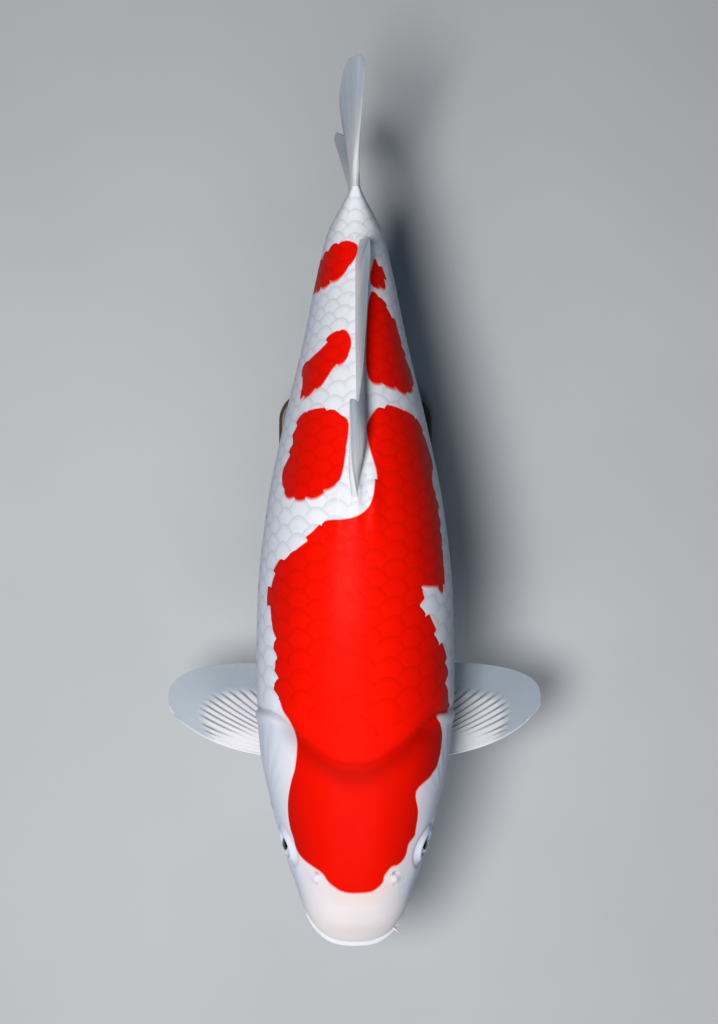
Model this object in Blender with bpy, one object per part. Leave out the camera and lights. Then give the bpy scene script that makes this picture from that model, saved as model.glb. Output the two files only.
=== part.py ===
# Koi carp (Kohaku), a life-size still model held over a plain display stand.
# Metres, +Z up.  The head points to -Y, the tail to +Y, and +X is the fish's left.
# The origin is the centre of the stand's underside, below the middle of the fish's weight.
import math

import bmesh
import bpy
from mathutils import Vector

# ---- driving dimensions -------------------------------------------------------------------
STANDARD_LENGTH = 0.674      # snout to the root of the tail fin
AXIS_HEIGHT = 0.230          # level of the snout-to-fork line above the floor
SNOUT_Y = -0.312             # puts the middle of the fish's weight over the stand's centre
ROLL_LEAN = 0.012            # sideways lean of the back, metres of X for each metre of height
GAP = 0.0003                 # clearance between pieces that touch
CUT_GROW = 0.00035           # how much larger than the body its cutter is

# station along the body, half width, back and belly above and below the axis
BODY_STATIONS = (
    (0.000, 0.0000, -0.0100, -0.0100),
    (0.004, 0.0205, 0.0008, -0.0182),
    (0.015, 0.0320, 0.0110, -0.0270),
    (0.040, 0.0435, 0.0300, -0.0370),
    (0.080, 0.0545, 0.0490, -0.0470),
    (0.130, 0.0645, 0.0660, -0.0570),
    (0.200, 0.0770, 0.0840, -0.0690),
    (0.270, 0.0855, 0.0980, -0.0800),
    (0.360, 0.0888, 0.1120, -0.0910),
    (0.470, 0.0873, 0.1190, -0.0970),
    (0.580, 0.0795, 0.1150, -0.0960),
    (0.690, 0.0650, 0.1000, -0.0860),
    (0.800, 0.0475, 0.0770, -0.0670),
    (0.900, 0.0335, 0.0545, -0.0485),
    (0.945, 0.0258, 0.0462, -0.0425),
    (0.976, 0.0158, 0.0446, -0.0413),
    (1.000, 0.0082, 0.0460, -0.0430),
)
# station, roundness of the section above and below its widest level, that level's offset
SECTION_STATIONS = (
    (0.00, 2.10, 2.10, -0.001),
    (0.10, 2.40, 2.30, -0.012),
    (0.20, 2.35, 2.35, -0.011),
    (0.35, 2.20, 2.35, 0.000),
    (0.60, 2.10, 2.30, 0.000),
    (0.85, 2.00, 2.10, 0.000),
    (1.00, 2.00, 2.00, 0.000),
)
# height in the section (1 back, 0 widest, -1 throat), station of the head's rear edge
GILL_STATIONS = (
    (-1.00, 0.186), (-0.80, 0.200), (-0.60, 0.221), (-0.35, 0.264), (-0.10, 0.303),
    (0.15, 0.318), (0.50, 0.312), (0.80, 0.283), (1.00, 0.256),
)
STEM_STATION = 0.905         # where the trunk ends and the tail's stem begins
RING_SIDES = 32
HEAD_RINGS, TRUNK_RINGS, STEM_RINGS = 11, 16, 4
SHOULDER_STEP = 0.0022       # how proud the scaled shoulder stands over the bare nape

GILL_COVER = {"front": 0.186, "rear_margin": 0.005, "top": 0.50, "bottom": -0.62,
              "proud": 0.0008, "depth": 0.0050}
EYE = {"station": 0.143, "x": 0.0530, "z": 0.0245, "radius": 0.0115}
MOUTH = {"half_width": 0.038, "level": -0.0125, "drop": 0.0100,
         "lip_radius": 0.0040, "sink": 0.0020}
BARBELS = {                  # root and tip: x, distance behind the snout, z; then the radius
    "front_left": ((0.0335, 0.0150, -0.0060), (0.0410, 0.0080, -0.0120), 0.0011),
    "front_right": ((-0.0405, 0.0250, -0.0150), (-0.0430, 0.0370, -0.0260), 0.0011),
    "rear_left": ((0.0385, 0.0330, -0.0270), (0.0400, 0.0400, -0.0500), 0.0015),
    "rear_right": ((-0.0385, 0.0330, -0.0270), (-0.0400, 0.0400, -0.0500), 0.0015),
}
PECTORAL = {"root_x": 0.0700, "root_in": 0.0120, "root_front": 0.162, "root_rear": 0.192,
            "root_z": -0.0430, "root_fall": 0.0100, "edge_x": 0.0840, "edge_y": 0.2155,
            "reach": 0.0895, "trail": 0.0325, "lead": 0.0277, "roundness": 2.65,
            "lead_turn": -28.0, "droop": 0.0120}
PELVIC = {"x": 0.0250, "front": 0.352, "rear": 0.382, "z": -0.0860, "length": 0.094}
DORSAL = {"front": 0.575, "rear": 0.895, "sink": 0.0060, "rise": 17, "rise_fall": 9,
          "swell": 0.0018, "swell_reach": 0.12}
ANAL = {"front": 0.800, "rear": 0.872, "sink": 0.0050}
STAND = {"length": 0.400, "width": 0.156, "thickness": 0.018, "corner": 0.030,
         "rod_radius": 0.0060, "foot_radius": 0.0150, "foot_height": 0.0060,
         "rod_y": 0.105, "rod_top": 0.150}

WHITE = (0.86, 0.85, 0.87, 1.0)
RED = (0.80, 0.06, 0.02, 1.0)
FIN_GREY = (0.62, 0.70, 0.76, 1.0)
EYE_DARK = (0.05, 0.05, 0.07, 1.0)
WOOD = (0.06, 0.045, 0.038, 1.0)
STEEL = (0.62, 0.63, 0.65, 1.0)


# ---- small helpers ------------------------------------------------------------------------
def smooth_table(rows, column, position):
    """Monotone cubic curve through one column of a table of stations."""
    knots = [row[0] for row in rows]
    values = [row[column] for row in rows]
    position = min(max(position, knots[0]), knots[-1])
    slopes = [(values[i + 1] - values[i]) / (knots[i + 1] - knots[i]) for i in range(len(rows) - 1)]
    tangents = [slopes[0]]
    for before, after in zip(slopes, slopes[1:]):
        tangents.append(0.0 if before * after <= 0 else 2 * before * after / (before + after))
    tangents.append(slopes[-1])
    i = max(k for k in range(len(rows) - 1) if knots[k] <= position)
    span = knots[i + 1] - knots[i]
    t = (position - knots[i]) / span
    return ((1 + 2 * t) * (1 - t) ** 2 * values[i] + t * (1 - t) ** 2 * span * tangents[i]
            + t * t * (3 - 2 * t) * values[i + 1] + t * t * (t - 1) * span * tangents[i + 1])


def station_table(column):
    """A body column against the square root of the station, which rounds the snout."""
    return [(math.sqrt(row[0]), row[column]) for row in BODY_STATIONS]


WIDTH_TABLE, BACK_TABLE, BELLY_TABLE = (station_table(column) for column in (1, 2, 3))


def signed_power(value, power):
    return math.copysign(abs(value) ** power, value)


def gill_station(height):
    return smooth_table(GILL_STATIONS, 1, height)


def body_point(station, angle, grow=0.0):
    """Point on the fish's surface; angle 0 is its left side and a quarter turn its back."""
    root = math.sqrt(max(station, 0.0))
    width = smooth_table(WIDTH_TABLE, 1, root)
    back = smooth_table(BACK_TABLE, 1, root)
    belly = smooth_table(BELLY_TABLE, 1, root)
    above, below = (smooth_table(SECTION_STATIONS, column, station) for column in (1, 2))
    level = 0.5 * (back + belly) + smooth_table(SECTION_STATIONS, 3, station)
    across, up = math.cos(angle), math.sin(angle)
    past_nape = station - gill_station(up)
    if past_nape >= 0 and up > 0:
        grow += SHOULDER_STEP * up * math.exp(-past_nape / 0.06) * (1 - math.exp(-past_nape / 0.008))
    roundness = above if up >= 0 else below
    half_height = (back - level if up >= 0 else level - belly) + grow
    x = (width + grow) * signed_power(across, 2 / roundness)
    z = level + half_height * signed_power(up, 2 / roundness)
    return Vector((x + ROLL_LEAN * z, SNOUT_Y + station * STANDARD_LENGTH, z + AXIS_HEIGHT))


def place(x, behind_snout, z):
    """World point from sizes measured on the fish: across, behind the snout, above the axis."""
    return Vector((x + ROLL_LEAN * z, SNOUT_Y + behind_snout, z + AXIS_HEIGHT))


def surface_station(x, z):
    """Station at which the snout's surface passes a given x and height."""
    low, high = 0.0, 0.30
    for _ in range(40):
        middle = 0.5 * (low + high)
        root = math.sqrt(middle)
        width = smooth_table(WIDTH_TABLE, 1, root)
        back = smooth_table(BACK_TABLE, 1, root)
        belly = smooth_table(BELLY_TABLE, 1, root)
        level = 0.5 * (back + belly) + smooth_table(SECTION_STATIONS, 3, middle)
        half_height = back - level if z >= level else level - belly
        power = smooth_table(SECTION_STATIONS, 1 if z >= level else 2, middle)
        size = (abs(x) / max(width, 1e-6)) ** power + (abs(z - level) / max(half_height, 1e-6)) ** power
        if size > 1:
            low = middle
        else:
            high = middle
    return high


def material(name, colour, roughness, metallic=0.0):
    made = bpy.data.materials.new(name)
    made.use_nodes = True
    shader = made.node_tree.nodes["Principled BSDF"]
    shader.inputs["Base Color"].default_value = colour
    shader.inputs["Roughness"].default_value = roughness
    shader.inputs["Metallic"].default_value = metallic
    return made


def solid(name, points, faces, finish=None, sharp_degrees=40):
    """Closed mesh object from points and faces, with its faces turned outwards."""
    mesh = bpy.data.meshes.new(name)
    mesh.from_pydata([tuple(point) for point in points], [], faces)
    work = bmesh.new()
    work.from_mesh(mesh)
    bmesh.ops.triangulate(work, faces=work.faces)
    bmesh.ops.recalc_face_normals(work, faces=work.faces)
    work.to_mesh(mesh)
    work.free()
    mesh.shade_smooth()
    mesh.set_sharp_from_angle(angle=math.radians(sharp_degrees))
    made = bpy.data.objects.new(name, mesh)
    bpy.context.collection.objects.link(made)
    if finish is not None:
        mesh.materials.append(finish)
    return made


def loft(name, rings, start, end, finish=None):
    """Solid through rings of equal size, closed by a fan to a point at each end."""
    sides = len(rings[0])
    points = [point for ring in rings for point in ring]
    faces = []
    for r in range(len(rings) - 1):
        for k in range(sides):
            a, b = r * sides + k, r * sides + (k + 1) % sides
            faces.append((a, b, b + sides))
            faces.append((a, b + sides, a + sides))
    first, last = len(points), len(points) + 1
    points += [start, end]
    base = (len(rings) - 1) * sides
    for k in range(sides):
        faces.append((first, (k + 1) % sides, k))
        faces.append((last, base + k, base + (k + 1) % sides))
    return solid(name, points, faces, finish)


def cut(target, cutter, solver='EXACT'):
    """Subtract a hidden cutter from a solid."""
    cutter.hide_render = True
    cutter.display_type = 'WIRE'
    step = target.modifiers.new("cut_" + cutter.name, 'BOOLEAN')
    step.operation = 'DIFFERENCE'
    step.solver = solver
    step.object = cutter


def tube(name, spine, radii, sides, finish=None):
    """Solid round tube along a spine of points, closed by a low cone at each end."""
    rings = []
    for i, centre in enumerate(spine):
        along = (spine[min(i + 1, len(spine) - 1)] - spine[max(i - 1, 0)]).normalized()
        side = along.cross(Vector((0, 0, 1))).normalized()
        up = side.cross(along)
        turns = [2 * math.pi * k / sides for k in range(sides)]
        rings.append([centre + radii[i] * (math.cos(a) * side + math.sin(a) * up) for a in turns])
    start = spine[0] + (spine[0] - spine[1]).normalized() * radii[0] * 0.5
    end = spine[-1] + (spine[-1] - spine[-2]).normalized() * radii[-1] * 0.5
    return loft(name, rings, start, end, finish)


def bezier(start, control, end, t):
    return start * (1 - t) ** 2 + control * 2 * t * (1 - t) + end * t * t


def fin_blade(name, surface, half_thickness, ray_count, step_count, finish):
    """Thin solid about a surface(u, t), u running along the root and t out along a ray."""
    delta = 1e-3
    front, back = [], []
    for i in range(ray_count + 1):
        for j in range(step_count + 1):
            u, t = i / ray_count, j / step_count
            across = surface(min(u + delta, 1), t) - surface(max(u - delta, 0), t)
            along = surface(u, min(t + delta, 1)) - surface(u, max(t - delta, 0))
            normal = across.cross(along).normalized()
            offset = normal * half_thickness(u, t)
            front.append(surface(u, t) + offset)
            back.append(surface(u, t) - offset)
    stride, half = step_count + 1, len(front)
    faces = []
    for i in range(ray_count):
        for j in range(step_count):
            a = i * stride + j
            faces.append((a, a + 1, a + stride + 1, a + stride))
            faces.append((half + a, half + a + stride, half + a + stride + 1, half + a + 1))
    rim = [j for j in range(stride)]
    rim += [i * stride + step_count for i in range(1, ray_count + 1)]
    rim += [ray_count * stride + j for j in range(step_count - 1, -1, -1)]
    rim += [i * stride for i in range(ray_count - 1, 0, -1)]
    for a, b in zip(rim, rim[1:] + rim[:1]):
        faces.append((a, half + a, half + b, b))
    return solid(name, front + back, faces, finish, 60)


# ---- body ---------------------------------------------------------------------------------
def ring_angles():
    return [2 * math.pi * k / RING_SIDES for k in range(RING_SIDES)]


def head_rings(grow=0.0):
    rings = []
    for r in range(1, HEAD_RINGS + 1):
        share = (r / HEAD_RINGS) ** 1.7
        rings.append([body_point(share * (gill_station(math.sin(a)) - 1e-6), a, grow)
                      for a in ring_angles()])
    return rings


def trunk_rings(grow=0.0):
    rings = []
    for r in range(TRUNK_RINGS + 1):
        ring = []
        for a in ring_angles():
            start = gill_station(math.sin(a)) + 1.4 * GAP / STANDARD_LENGTH
            station = start + (STEM_STATION - start) * r / TRUNK_RINGS
            ring.append(body_point(station, a, grow))
        rings.append(ring)
    return rings


def stem_rings(grow=0.0):
    start = STEM_STATION + GAP / STANDARD_LENGTH
    stations = [start + (1 - start) * r / STEM_RINGS for r in range(STEM_RINGS + 1)]
    return [[body_point(s, a, grow) for a in ring_angles()] for s in stations]


def axis_point(station, z):
    return place(0.0, station * STANDARD_LENGTH, z)


def make_body(skins):
    """Head, trunk and tail stem: one body, parted at the nape and gills and before the tail."""
    cap_station, cap_level = 0.262, 0.006
    shift = Vector((0, 1.4 * GAP, 0))
    cap = axis_point(cap_station, cap_level)
    head = loft("head", head_rings(), axis_point(0.0, -0.010), cap, skins["red"])
    trunk = loft("trunk", trunk_rings(), cap + shift, axis_point(STEM_STATION, 0.0), skins["red"])
    stem_start = axis_point(STEM_STATION + GAP / STANDARD_LENGTH, 0.0)
    stem = loft("tail_stem", stem_rings(), stem_start, axis_point(1.0, 0.0), skins["white"])
    return head, trunk, stem


def body_cutter():
    """The whole body, slightly larger, that shapes the roots of fins, rods and barbels."""
    rings = head_rings(CUT_GROW) + trunk_rings(CUT_GROW) + stem_rings(CUT_GROW)
    start = axis_point(0.0, -0.010) - Vector((0, CUT_GROW, 0))
    return loft("body_cutter", rings, start, axis_point(1.0, 0.0) + Vector((0, CUT_GROW, 0)))


def gill_patch(name, side, spread, outer, inner, finish=None):
    """Curved slab over the gills, between two depths of the head's surface."""
    rows, columns = 7, 6
    front_face, back_face = [], []
    for i in range(rows + 1):
        height = GILL_COVER["bottom"] + (GILL_COVER["top"] - GILL_COVER["bottom"]) * i / rows
        bow = math.sqrt(max(0.0, 1 - (2 * i / rows - 1) ** 2))
        rear = gill_station(height) - GILL_COVER["rear_margin"]
        front = rear - (0.028 + (rear - 0.028 - GILL_COVER["front"]) * bow)
        edge = (2 * i / rows - 1) * spread
        for j in range(columns + 1):
            share = j / columns
            station = front + (rear - front) * share + (2 * share - 1) * spread / STANDARD_LENGTH
            angle = math.asin(height) + edge / 0.08
            if side < 0:
                angle = math.pi - angle
            front_face.append(body_point(station, angle, outer))
            back_face.append(body_point(station, angle, -inner))
    stride, half = columns + 1, len(front_face)
    faces = []
    for i in range(rows):
        for j in range(columns):
            a = i * stride + j
            faces.append((a, a + 1, a + stride + 1, a + stride))
            faces.append((half + a, half + a + stride, half + a + stride + 1, half + a + 1))
    rim = [j for j in range(stride)] + [i * stride + columns for i in range(1, rows + 1)]
    rim += [rows * stride + j for j in range(columns - 1, -1, -1)]
    rim += [i * stride for i in range(rows - 1, 0, -1)]
    for a, b in zip(rim, rim[1:] + rim[:1]):
        faces.append((a, half + a, half + b, b))
    return solid(name, front_face + back_face, faces, finish)


def make_gill_covers(head, skins):
    for label, side in (("left", 1), ("right", -1)):
        gill_patch("gill_cover_" + label, side, 0.0, GILL_COVER["proud"],
                   GILL_COVER["depth"], skins["white"])
        recess = gill_patch("gill_recess_" + label, side, GAP, 0.004, GILL_COVER["depth"] + GAP)
        cut(head, recess)


def lip_spine(offset):
    """Centre line of a lip, round the snout from corner to corner."""
    count = 12
    spine = []
    for i in range(count + 1):
        turn = math.radians(-80 + 160 * i / count)
        x = MOUTH["half_width"] * math.sin(turn) / math.sin(math.radians(80))
        level = MOUTH["level"] - MOUTH["drop"] * (x / MOUTH["half_width"]) ** 2
        station = surface_station(x, level)
        spine.append(place(x, station * STANDARD_LENGTH + MOUTH["sink"], level + offset))
    return spine


def make_lips(head, skins):
    radius = MOUTH["lip_radius"]
    for name, sign in (("lip_upper", 1), ("lip_lower", -1)):
        spine = lip_spine(sign * (radius + 0.5 * GAP))
        count = len(spine) - 1
        shape = [0.62 + 0.38 * math.sin(math.pi * i / count) ** 0.6 for i in range(count + 1)]
        tube(name, spine, [radius * s for s in shape], 10, skins["white"])
        groove = tube(name + "_groove", spine, [radius * s + GAP for s in shape], 10)
        cut(head, groove)


def make_eyes(head, skins):
    for label, side in (("left", 1), ("right", -1)):
        centre = place(side * EYE["x"], EYE["station"] * STANDARD_LENGTH, EYE["z"])
        for name, grow in (("eye_", 0.0), ("eye_socket_", GAP)):
            mesh = bpy.data.meshes.new(name + label)
            work = bmesh.new()
            bmesh.ops.create_uvsphere(work, u_segments=16, v_segments=10,
                                      radius=EYE["radius"] + grow)
            work.to_mesh(mesh)
            work.free()
            mesh.shade_smooth()
            ball = bpy.data.objects.new(name + label, mesh)
            ball.location = centre
            bpy.context.collection.objects.link(ball)
            if grow:
                cut(head, ball)
            else:
                mesh.materials.append(skins["eye"])


def make_barbels(cutter, skins):
    """Two pairs of tapering feelers, rooted above and at the corners of the mouth."""
    for label, (root, tip, radius) in BARBELS.items():
        start, end = place(*root), place(*tip)
        bend = 0.5 * (start + end) + Vector((math.copysign(0.004, root[0]), -0.004, 0.002))
        spine = [bezier(start, bend, end, t / 7) for t in range(8)]
        radii = [radius * (1 - 0.6 * t / 7) for t in range(8)]
        barbel = tube("barbel_" + label, spine, radii, 8, skins["white"])
        cut(barbel, cutter)


# ---- fins ---------------------------------------------------------------------------------
def pectoral_surface(side):
    size = PECTORAL

    def surface(u, t):
        turn = math.radians(size["lead_turn"] + (90 - size["lead_turn"]) * u)
        power = 2 / size["roundness"]
        depth = size["trail"] if turn > 0 else size["lead"]
        end = Vector((size["edge_x"] + size["reach"] * math.cos(turn) ** power,
                      size["edge_y"] + depth * signed_power(math.sin(turn), power), 0))
        root = Vector((size["root_x"] - size["root_in"] * u, size["root_front"]
                       + (size["root_rear"] - size["root_front"]) * u, 0))
        bow = Vector((0.0205, -0.0110, 0)) * (1 - u) ** 1.5
        reach = -0.14 + 1.14 * t
        flat = bezier(root, 0.5 * (root + end) + bow, end, reach)
        camber = 0.004 * math.sin(math.pi * max(reach, 0)) * math.sin(math.pi * u)
        z = size["root_z"] - size["root_fall"] * u - size["droop"] * max(reach, 0) ** 1.5 + camber
        return place(side * flat.x, flat.y, z)
    return surface


def pelvic_surface(side):
    size = PELVIC

    def surface(u, t):
        root = Vector((size["x"] - 0.006 * u, size["front"] + (size["rear"] - size["front"]) * u,
                       size["z"]))
        reach = -0.10 + 1.10 * t
        length = size["length"] * (1 - 0.34 * u * u) * (0.90 + 0.10 * math.sin(math.pi * min(1, 2 * u)))
        out = 0.44 * (1 - u) ** 0.8 + 0.02
        heading = Vector((out, 0.84, -0.42 - 0.04 * u)).normalized()
        point = root + heading * length * reach + Vector((0, 0.006, 0.004)) * max(reach, 0) ** 2
        return place(side * point.x, point.y, point.z)
    return surface


def dorsal_length(u):
    rows = ((0.00, 0.0735), (0.05, 0.0860), (0.09, 0.0795), (0.14, 0.0685), (0.22, 0.0615),
            (0.40, 0.0520), (0.65, 0.0450), (0.88, 0.0405), (1.00, 0.0240))
    return smooth_table(rows, 1, u)


def dorsal_lean(u):
    rows = ((0.00, -0.004), (0.05, -0.0055), (0.09, -0.004), (0.14, 0.0005), (0.22, 0.0035),
            (0.30, 0.0055), (0.50, 0.008), (0.70, 0.010), (1.00, 0.0145))
    return smooth_table(rows, 1, u)


def dorsal_fold(u):
    rows = ((0.00, 0.000), (0.10, 0.003), (0.20, 0.006), (0.32, 0.004), (0.50, 0.002), (0.70, 0.000),
            (1.00, 0.000))
    return smooth_table(rows, 1, u)


def dorsal_swell(u, t):
    """Extra half thickness of the fleshy ridge at the front of the dorsal fin's root."""
    return DORSAL["swell"] * max(0.0, 1 - u / DORSAL["swell_reach"]) * (1 - t) ** 2.5


def dorsal_surface(u, t):
    station = DORSAL["front"] + (DORSAL["rear"] - DORSAL["front"]) * u
    root = body_point(station, 0.5 * math.pi)
    rise = math.radians(DORSAL["rise"] - DORSAL["rise_fall"] * u)
    reach = dorsal_length(u) * t
    sink = DORSAL["sink"] * (1 - t)
    lean = dorsal_lean(u) * t ** 1.2 + dorsal_fold(u) * math.sin(math.pi * t)
    sag = 0.003 * math.sin(math.pi * t)
    return root + Vector((lean, reach * math.cos(rise), reach * math.sin(rise) - sink + sag))


def anal_surface(u, t):
    station = ANAL["front"] + (ANAL["rear"] - ANAL["front"]) * u
    root = body_point(station, 1.5 * math.pi)
    length = smooth_table(((0.0, 0.080), (0.12, 0.087), (0.5, 0.066), (1.0, 0.040)), 1, u)
    fall = math.radians(46 - 8 * u)
    reach = length * t
    sink = ANAL["sink"] * (1 - t)
    return root + Vector((-0.003 * t, reach * math.cos(fall) + 0.004 * t * t,
                          sink - reach * math.sin(fall)))


# share of the way down the tail fin's edge: behind the root, height, sideways swing
TAIL_EDGE = (
    (0.00, 0.0950, 0.0950, 0.0078),
    (0.04, 0.1030, 0.0925, 0.0028),
    (0.10, 0.1030, 0.0800, -0.0052),
    (0.18, 0.0960, 0.0640, -0.0105),
    (0.30, 0.0800, 0.0400, -0.0135),
    (0.46, 0.0600, 0.0080, -0.0108),
    (0.54, 0.0560, -0.0080, -0.0095),
    (0.74, 0.0640, -0.0440, -0.0130),
    (0.90, 0.0720, -0.0780, -0.0172),
    (0.96, 0.0700, -0.0880, -0.0182),
    (1.00, 0.0620, -0.0900, -0.0165),
)


def tail_surface(u, t):
    behind, height, swing = (smooth_table(TAIL_EDGE, column, u) for column in (1, 2, 3))
    share = 1 - u
    root_z = -0.043 + 0.089 * share
    edge = Vector((swing, STANDARD_LENGTH + behind, height))
    root = Vector((0.0, STANDARD_LENGTH + GAP, root_z))
    bow = 0.006 * (1 - 2 * u) * math.sin(math.pi * t)
    point = root.lerp(edge, t)
    return place(swing * t * (1 - (1 - t) ** 6), point.y, point.z - bow)


def make_fins(cutter, skins):
    for label, side in (("left", 1), ("right", -1)):
        pectoral = fin_blade("pectoral_fin_" + label, pectoral_surface(side),
                             lambda u, t: 0.0005 + 0.0019 * (1 - t) ** 1.5 * (1 - 0.5 * u),
                             16, 7, skins["fin"])
        cut(pectoral, cutter, 'MANIFOLD')
        pelvic = fin_blade("pelvic_fin_" + label, pelvic_surface(side),
                           lambda u, t: 0.0005 + 0.0016 * (1 - t) ** 1.5,
                           9, 5, skins["fin"])
        cut(pelvic, cutter)
    dorsal = fin_blade("dorsal_fin", dorsal_surface,
                       lambda u, t: 0.0005 + 0.0018 * (1 - t) ** 1.6 + dorsal_swell(u, t),
                       20, 5, skins["fin"])
    cut(dorsal, cutter)
    anal = fin_blade("anal_fin", anal_surface,
                     lambda u, t: 0.0005 + 0.0020 * (1 - t) ** 1.5, 8, 5, skins["fin"])
    cut(anal, cutter)
    fin_blade("tail_fin", tail_surface,
              lambda u, t: 0.0005 + 0.0066 * (1 - t) ** (3.2 - 1.6 * abs(2 * u - 1)),
              16, 7, skins["fin"])


# ---- stand --------------------------------------------------------------------------------
def make_base(finish):
    """Flat base with rounded corners and a small chamfer round its top edge."""
    corner, segments = STAND["corner"], 6
    half_x, half_y = STAND["width"] / 2 - corner, STAND["length"] / 2 - corner
    chamfer = 0.002

    def outline(inset, z):
        ring = []
        for quarter, (sx, sy) in enumerate(((1, 1), (-1, 1), (-1, -1), (1, -1))):
            for k in range(segments + 1):
                a = 0.5 * math.pi * (quarter + k / segments)
                ring.append(Vector((sx * half_x + (corner - inset) * math.cos(a),
                                    sy * half_y + (corner - inset) * math.sin(a), z)))
        return ring

    top = STAND["thickness"]
    rings = [outline(0, 0), outline(0, top - chamfer), outline(chamfer, top)]
    loft("stand_base", rings, Vector((0, 0, 0)), Vector((0, 0, top)), finish)


def make_rods(cutter, finish):
    """Two upright rods with a turned foot, their tops shaped to the belly."""
    floor = STAND["thickness"] + GAP
    profile = ((STAND["foot_radius"], floor), (STAND["foot_radius"], floor + 0.004),
               (STAND["foot_radius"] - 0.002, floor + STAND["foot_height"]),
               (STAND["rod_radius"] + 0.001, floor + STAND["foot_height"] + 0.001),
               (STAND["rod_radius"], floor + STAND["foot_height"] + 0.003),
               (STAND["rod_radius"], STAND["rod_top"]))
    for label, y in (("front", -STAND["rod_y"]), ("rear", STAND["rod_y"])):
        rings = []
        for radius, z in profile:
            turns = [2 * math.pi * k / 20 for k in range(20)]
            rings.append([Vector((radius * math.cos(a), y + radius * math.sin(a), z)) for a in turns])
        rod = loft("stand_rod_" + label, rings, Vector((0, y, floor)),
                   Vector((0, y, STAND["rod_top"])), finish)
        cut(rod, cutter)


def main():
    for item in list(bpy.data.objects):
        bpy.data.objects.remove(item)
    skins = {
        "red": material("koi_red", RED, 0.28),
        "white": material("koi_white", WHITE, 0.28),
        "fin": material("koi_fin", FIN_GREY, 0.30),
        "eye": material("koi_eye", EYE_DARK, 0.08),
    }
    head, trunk, stem = make_body(skins)
    cutter = body_cutter()
    make_gill_covers(head, skins)
    make_lips(head, skins)
    make_eyes(head, skins)
    make_barbels(cutter, skins)
    make_fins(cutter, skins)
    make_base(material("stand_wood", WOOD, 0.35))
    make_rods(cutter, material("stand_steel", STEEL, 0.25, 1.0))


main()
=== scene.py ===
import math

import bpy
import numpy as np
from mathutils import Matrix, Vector


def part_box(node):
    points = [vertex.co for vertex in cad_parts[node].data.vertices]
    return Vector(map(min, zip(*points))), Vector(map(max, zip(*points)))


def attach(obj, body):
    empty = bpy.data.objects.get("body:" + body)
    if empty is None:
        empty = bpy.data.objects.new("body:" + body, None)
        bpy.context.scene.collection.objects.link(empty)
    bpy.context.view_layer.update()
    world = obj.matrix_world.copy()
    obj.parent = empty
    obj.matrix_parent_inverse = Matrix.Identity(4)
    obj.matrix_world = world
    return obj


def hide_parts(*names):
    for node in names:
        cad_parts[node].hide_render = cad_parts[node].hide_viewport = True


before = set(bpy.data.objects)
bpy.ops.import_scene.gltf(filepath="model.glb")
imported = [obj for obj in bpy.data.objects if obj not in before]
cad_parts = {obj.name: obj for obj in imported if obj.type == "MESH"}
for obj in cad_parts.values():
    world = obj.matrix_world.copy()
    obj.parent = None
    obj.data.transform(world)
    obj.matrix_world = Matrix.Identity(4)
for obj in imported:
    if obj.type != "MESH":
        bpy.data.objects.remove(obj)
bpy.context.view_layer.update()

# Kohaku koi, life size, over a plain display stand. Head to -Y, tail to +Y, +X is its left side.
# Metres. "behind" is always the distance behind the snout, "station" that as a share of the length.
fishForm = {
    "length": 0.674,
    "axisHeight": 0.230,
    "rollLean": 0.012,
    "shoulderStep": 0.0022,
    # station, half width, back and belly above and below the axis
    "stations": [
        (0.000, 0.0000, -0.0100, -0.0100), (0.004, 0.0205, 0.0008, -0.0182),
        (0.015, 0.0320, 0.0110, -0.0270), (0.040, 0.0435, 0.0300, -0.0370),
        (0.080, 0.0545, 0.0490, -0.0470),
        (0.130, 0.0645, 0.0660, -0.0570), (0.200, 0.0770, 0.0840, -0.0690),
        (0.270, 0.0855, 0.0980, -0.0800), (0.360, 0.0888, 0.1120, -0.0910),
        (0.470, 0.0873, 0.1190, -0.0970), (0.580, 0.0795, 0.1150, -0.0960),
        (0.690, 0.0650, 0.1000, -0.0860), (0.800, 0.0475, 0.0770, -0.0670),
        (0.900, 0.0335, 0.0545, -0.0485), (0.945, 0.0258, 0.0462, -0.0425),
        (0.976, 0.0154, 0.0446, -0.0413), (1.000, 0.0068, 0.0460, -0.0430)],
    # station, roundness above and below the widest level, that level's offset
    "sections": [
        (0.00, 2.10, 2.10, -0.001), (0.10, 2.40, 2.30, -0.012), (0.20, 2.35, 2.35, -0.011),
        (0.35, 2.20, 2.35, 0.000), (0.60, 2.10, 2.30, 0.000), (0.85, 2.00, 2.10, 0.000),
        (0.94, 2.20, 2.20, 0.000), (1.00, 3.40, 3.40, 0.000)],
    # height in the section, station of the bare head's rear edge
    "gillEdge": [
        (-1.00, 0.186), (-0.80, 0.200), (-0.60, 0.221), (-0.35, 0.264), (-0.10, 0.303),
        (0.15, 0.319), (0.50, 0.319), (0.72, 0.312), (0.80, 0.305), (0.86, 0.293),
        (0.94, 0.277), (1.00, 0.258)],
}
bodyLength = fishForm["length"]
axisHeight = fishForm["axisHeight"]
rollLean = fishForm["rollLean"]
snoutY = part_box("tail_stem")[1].y - bodyLength
quarterTurn, halfTurn, fullTurn = 0.5 * math.pi, math.pi, 2 * math.pi


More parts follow.
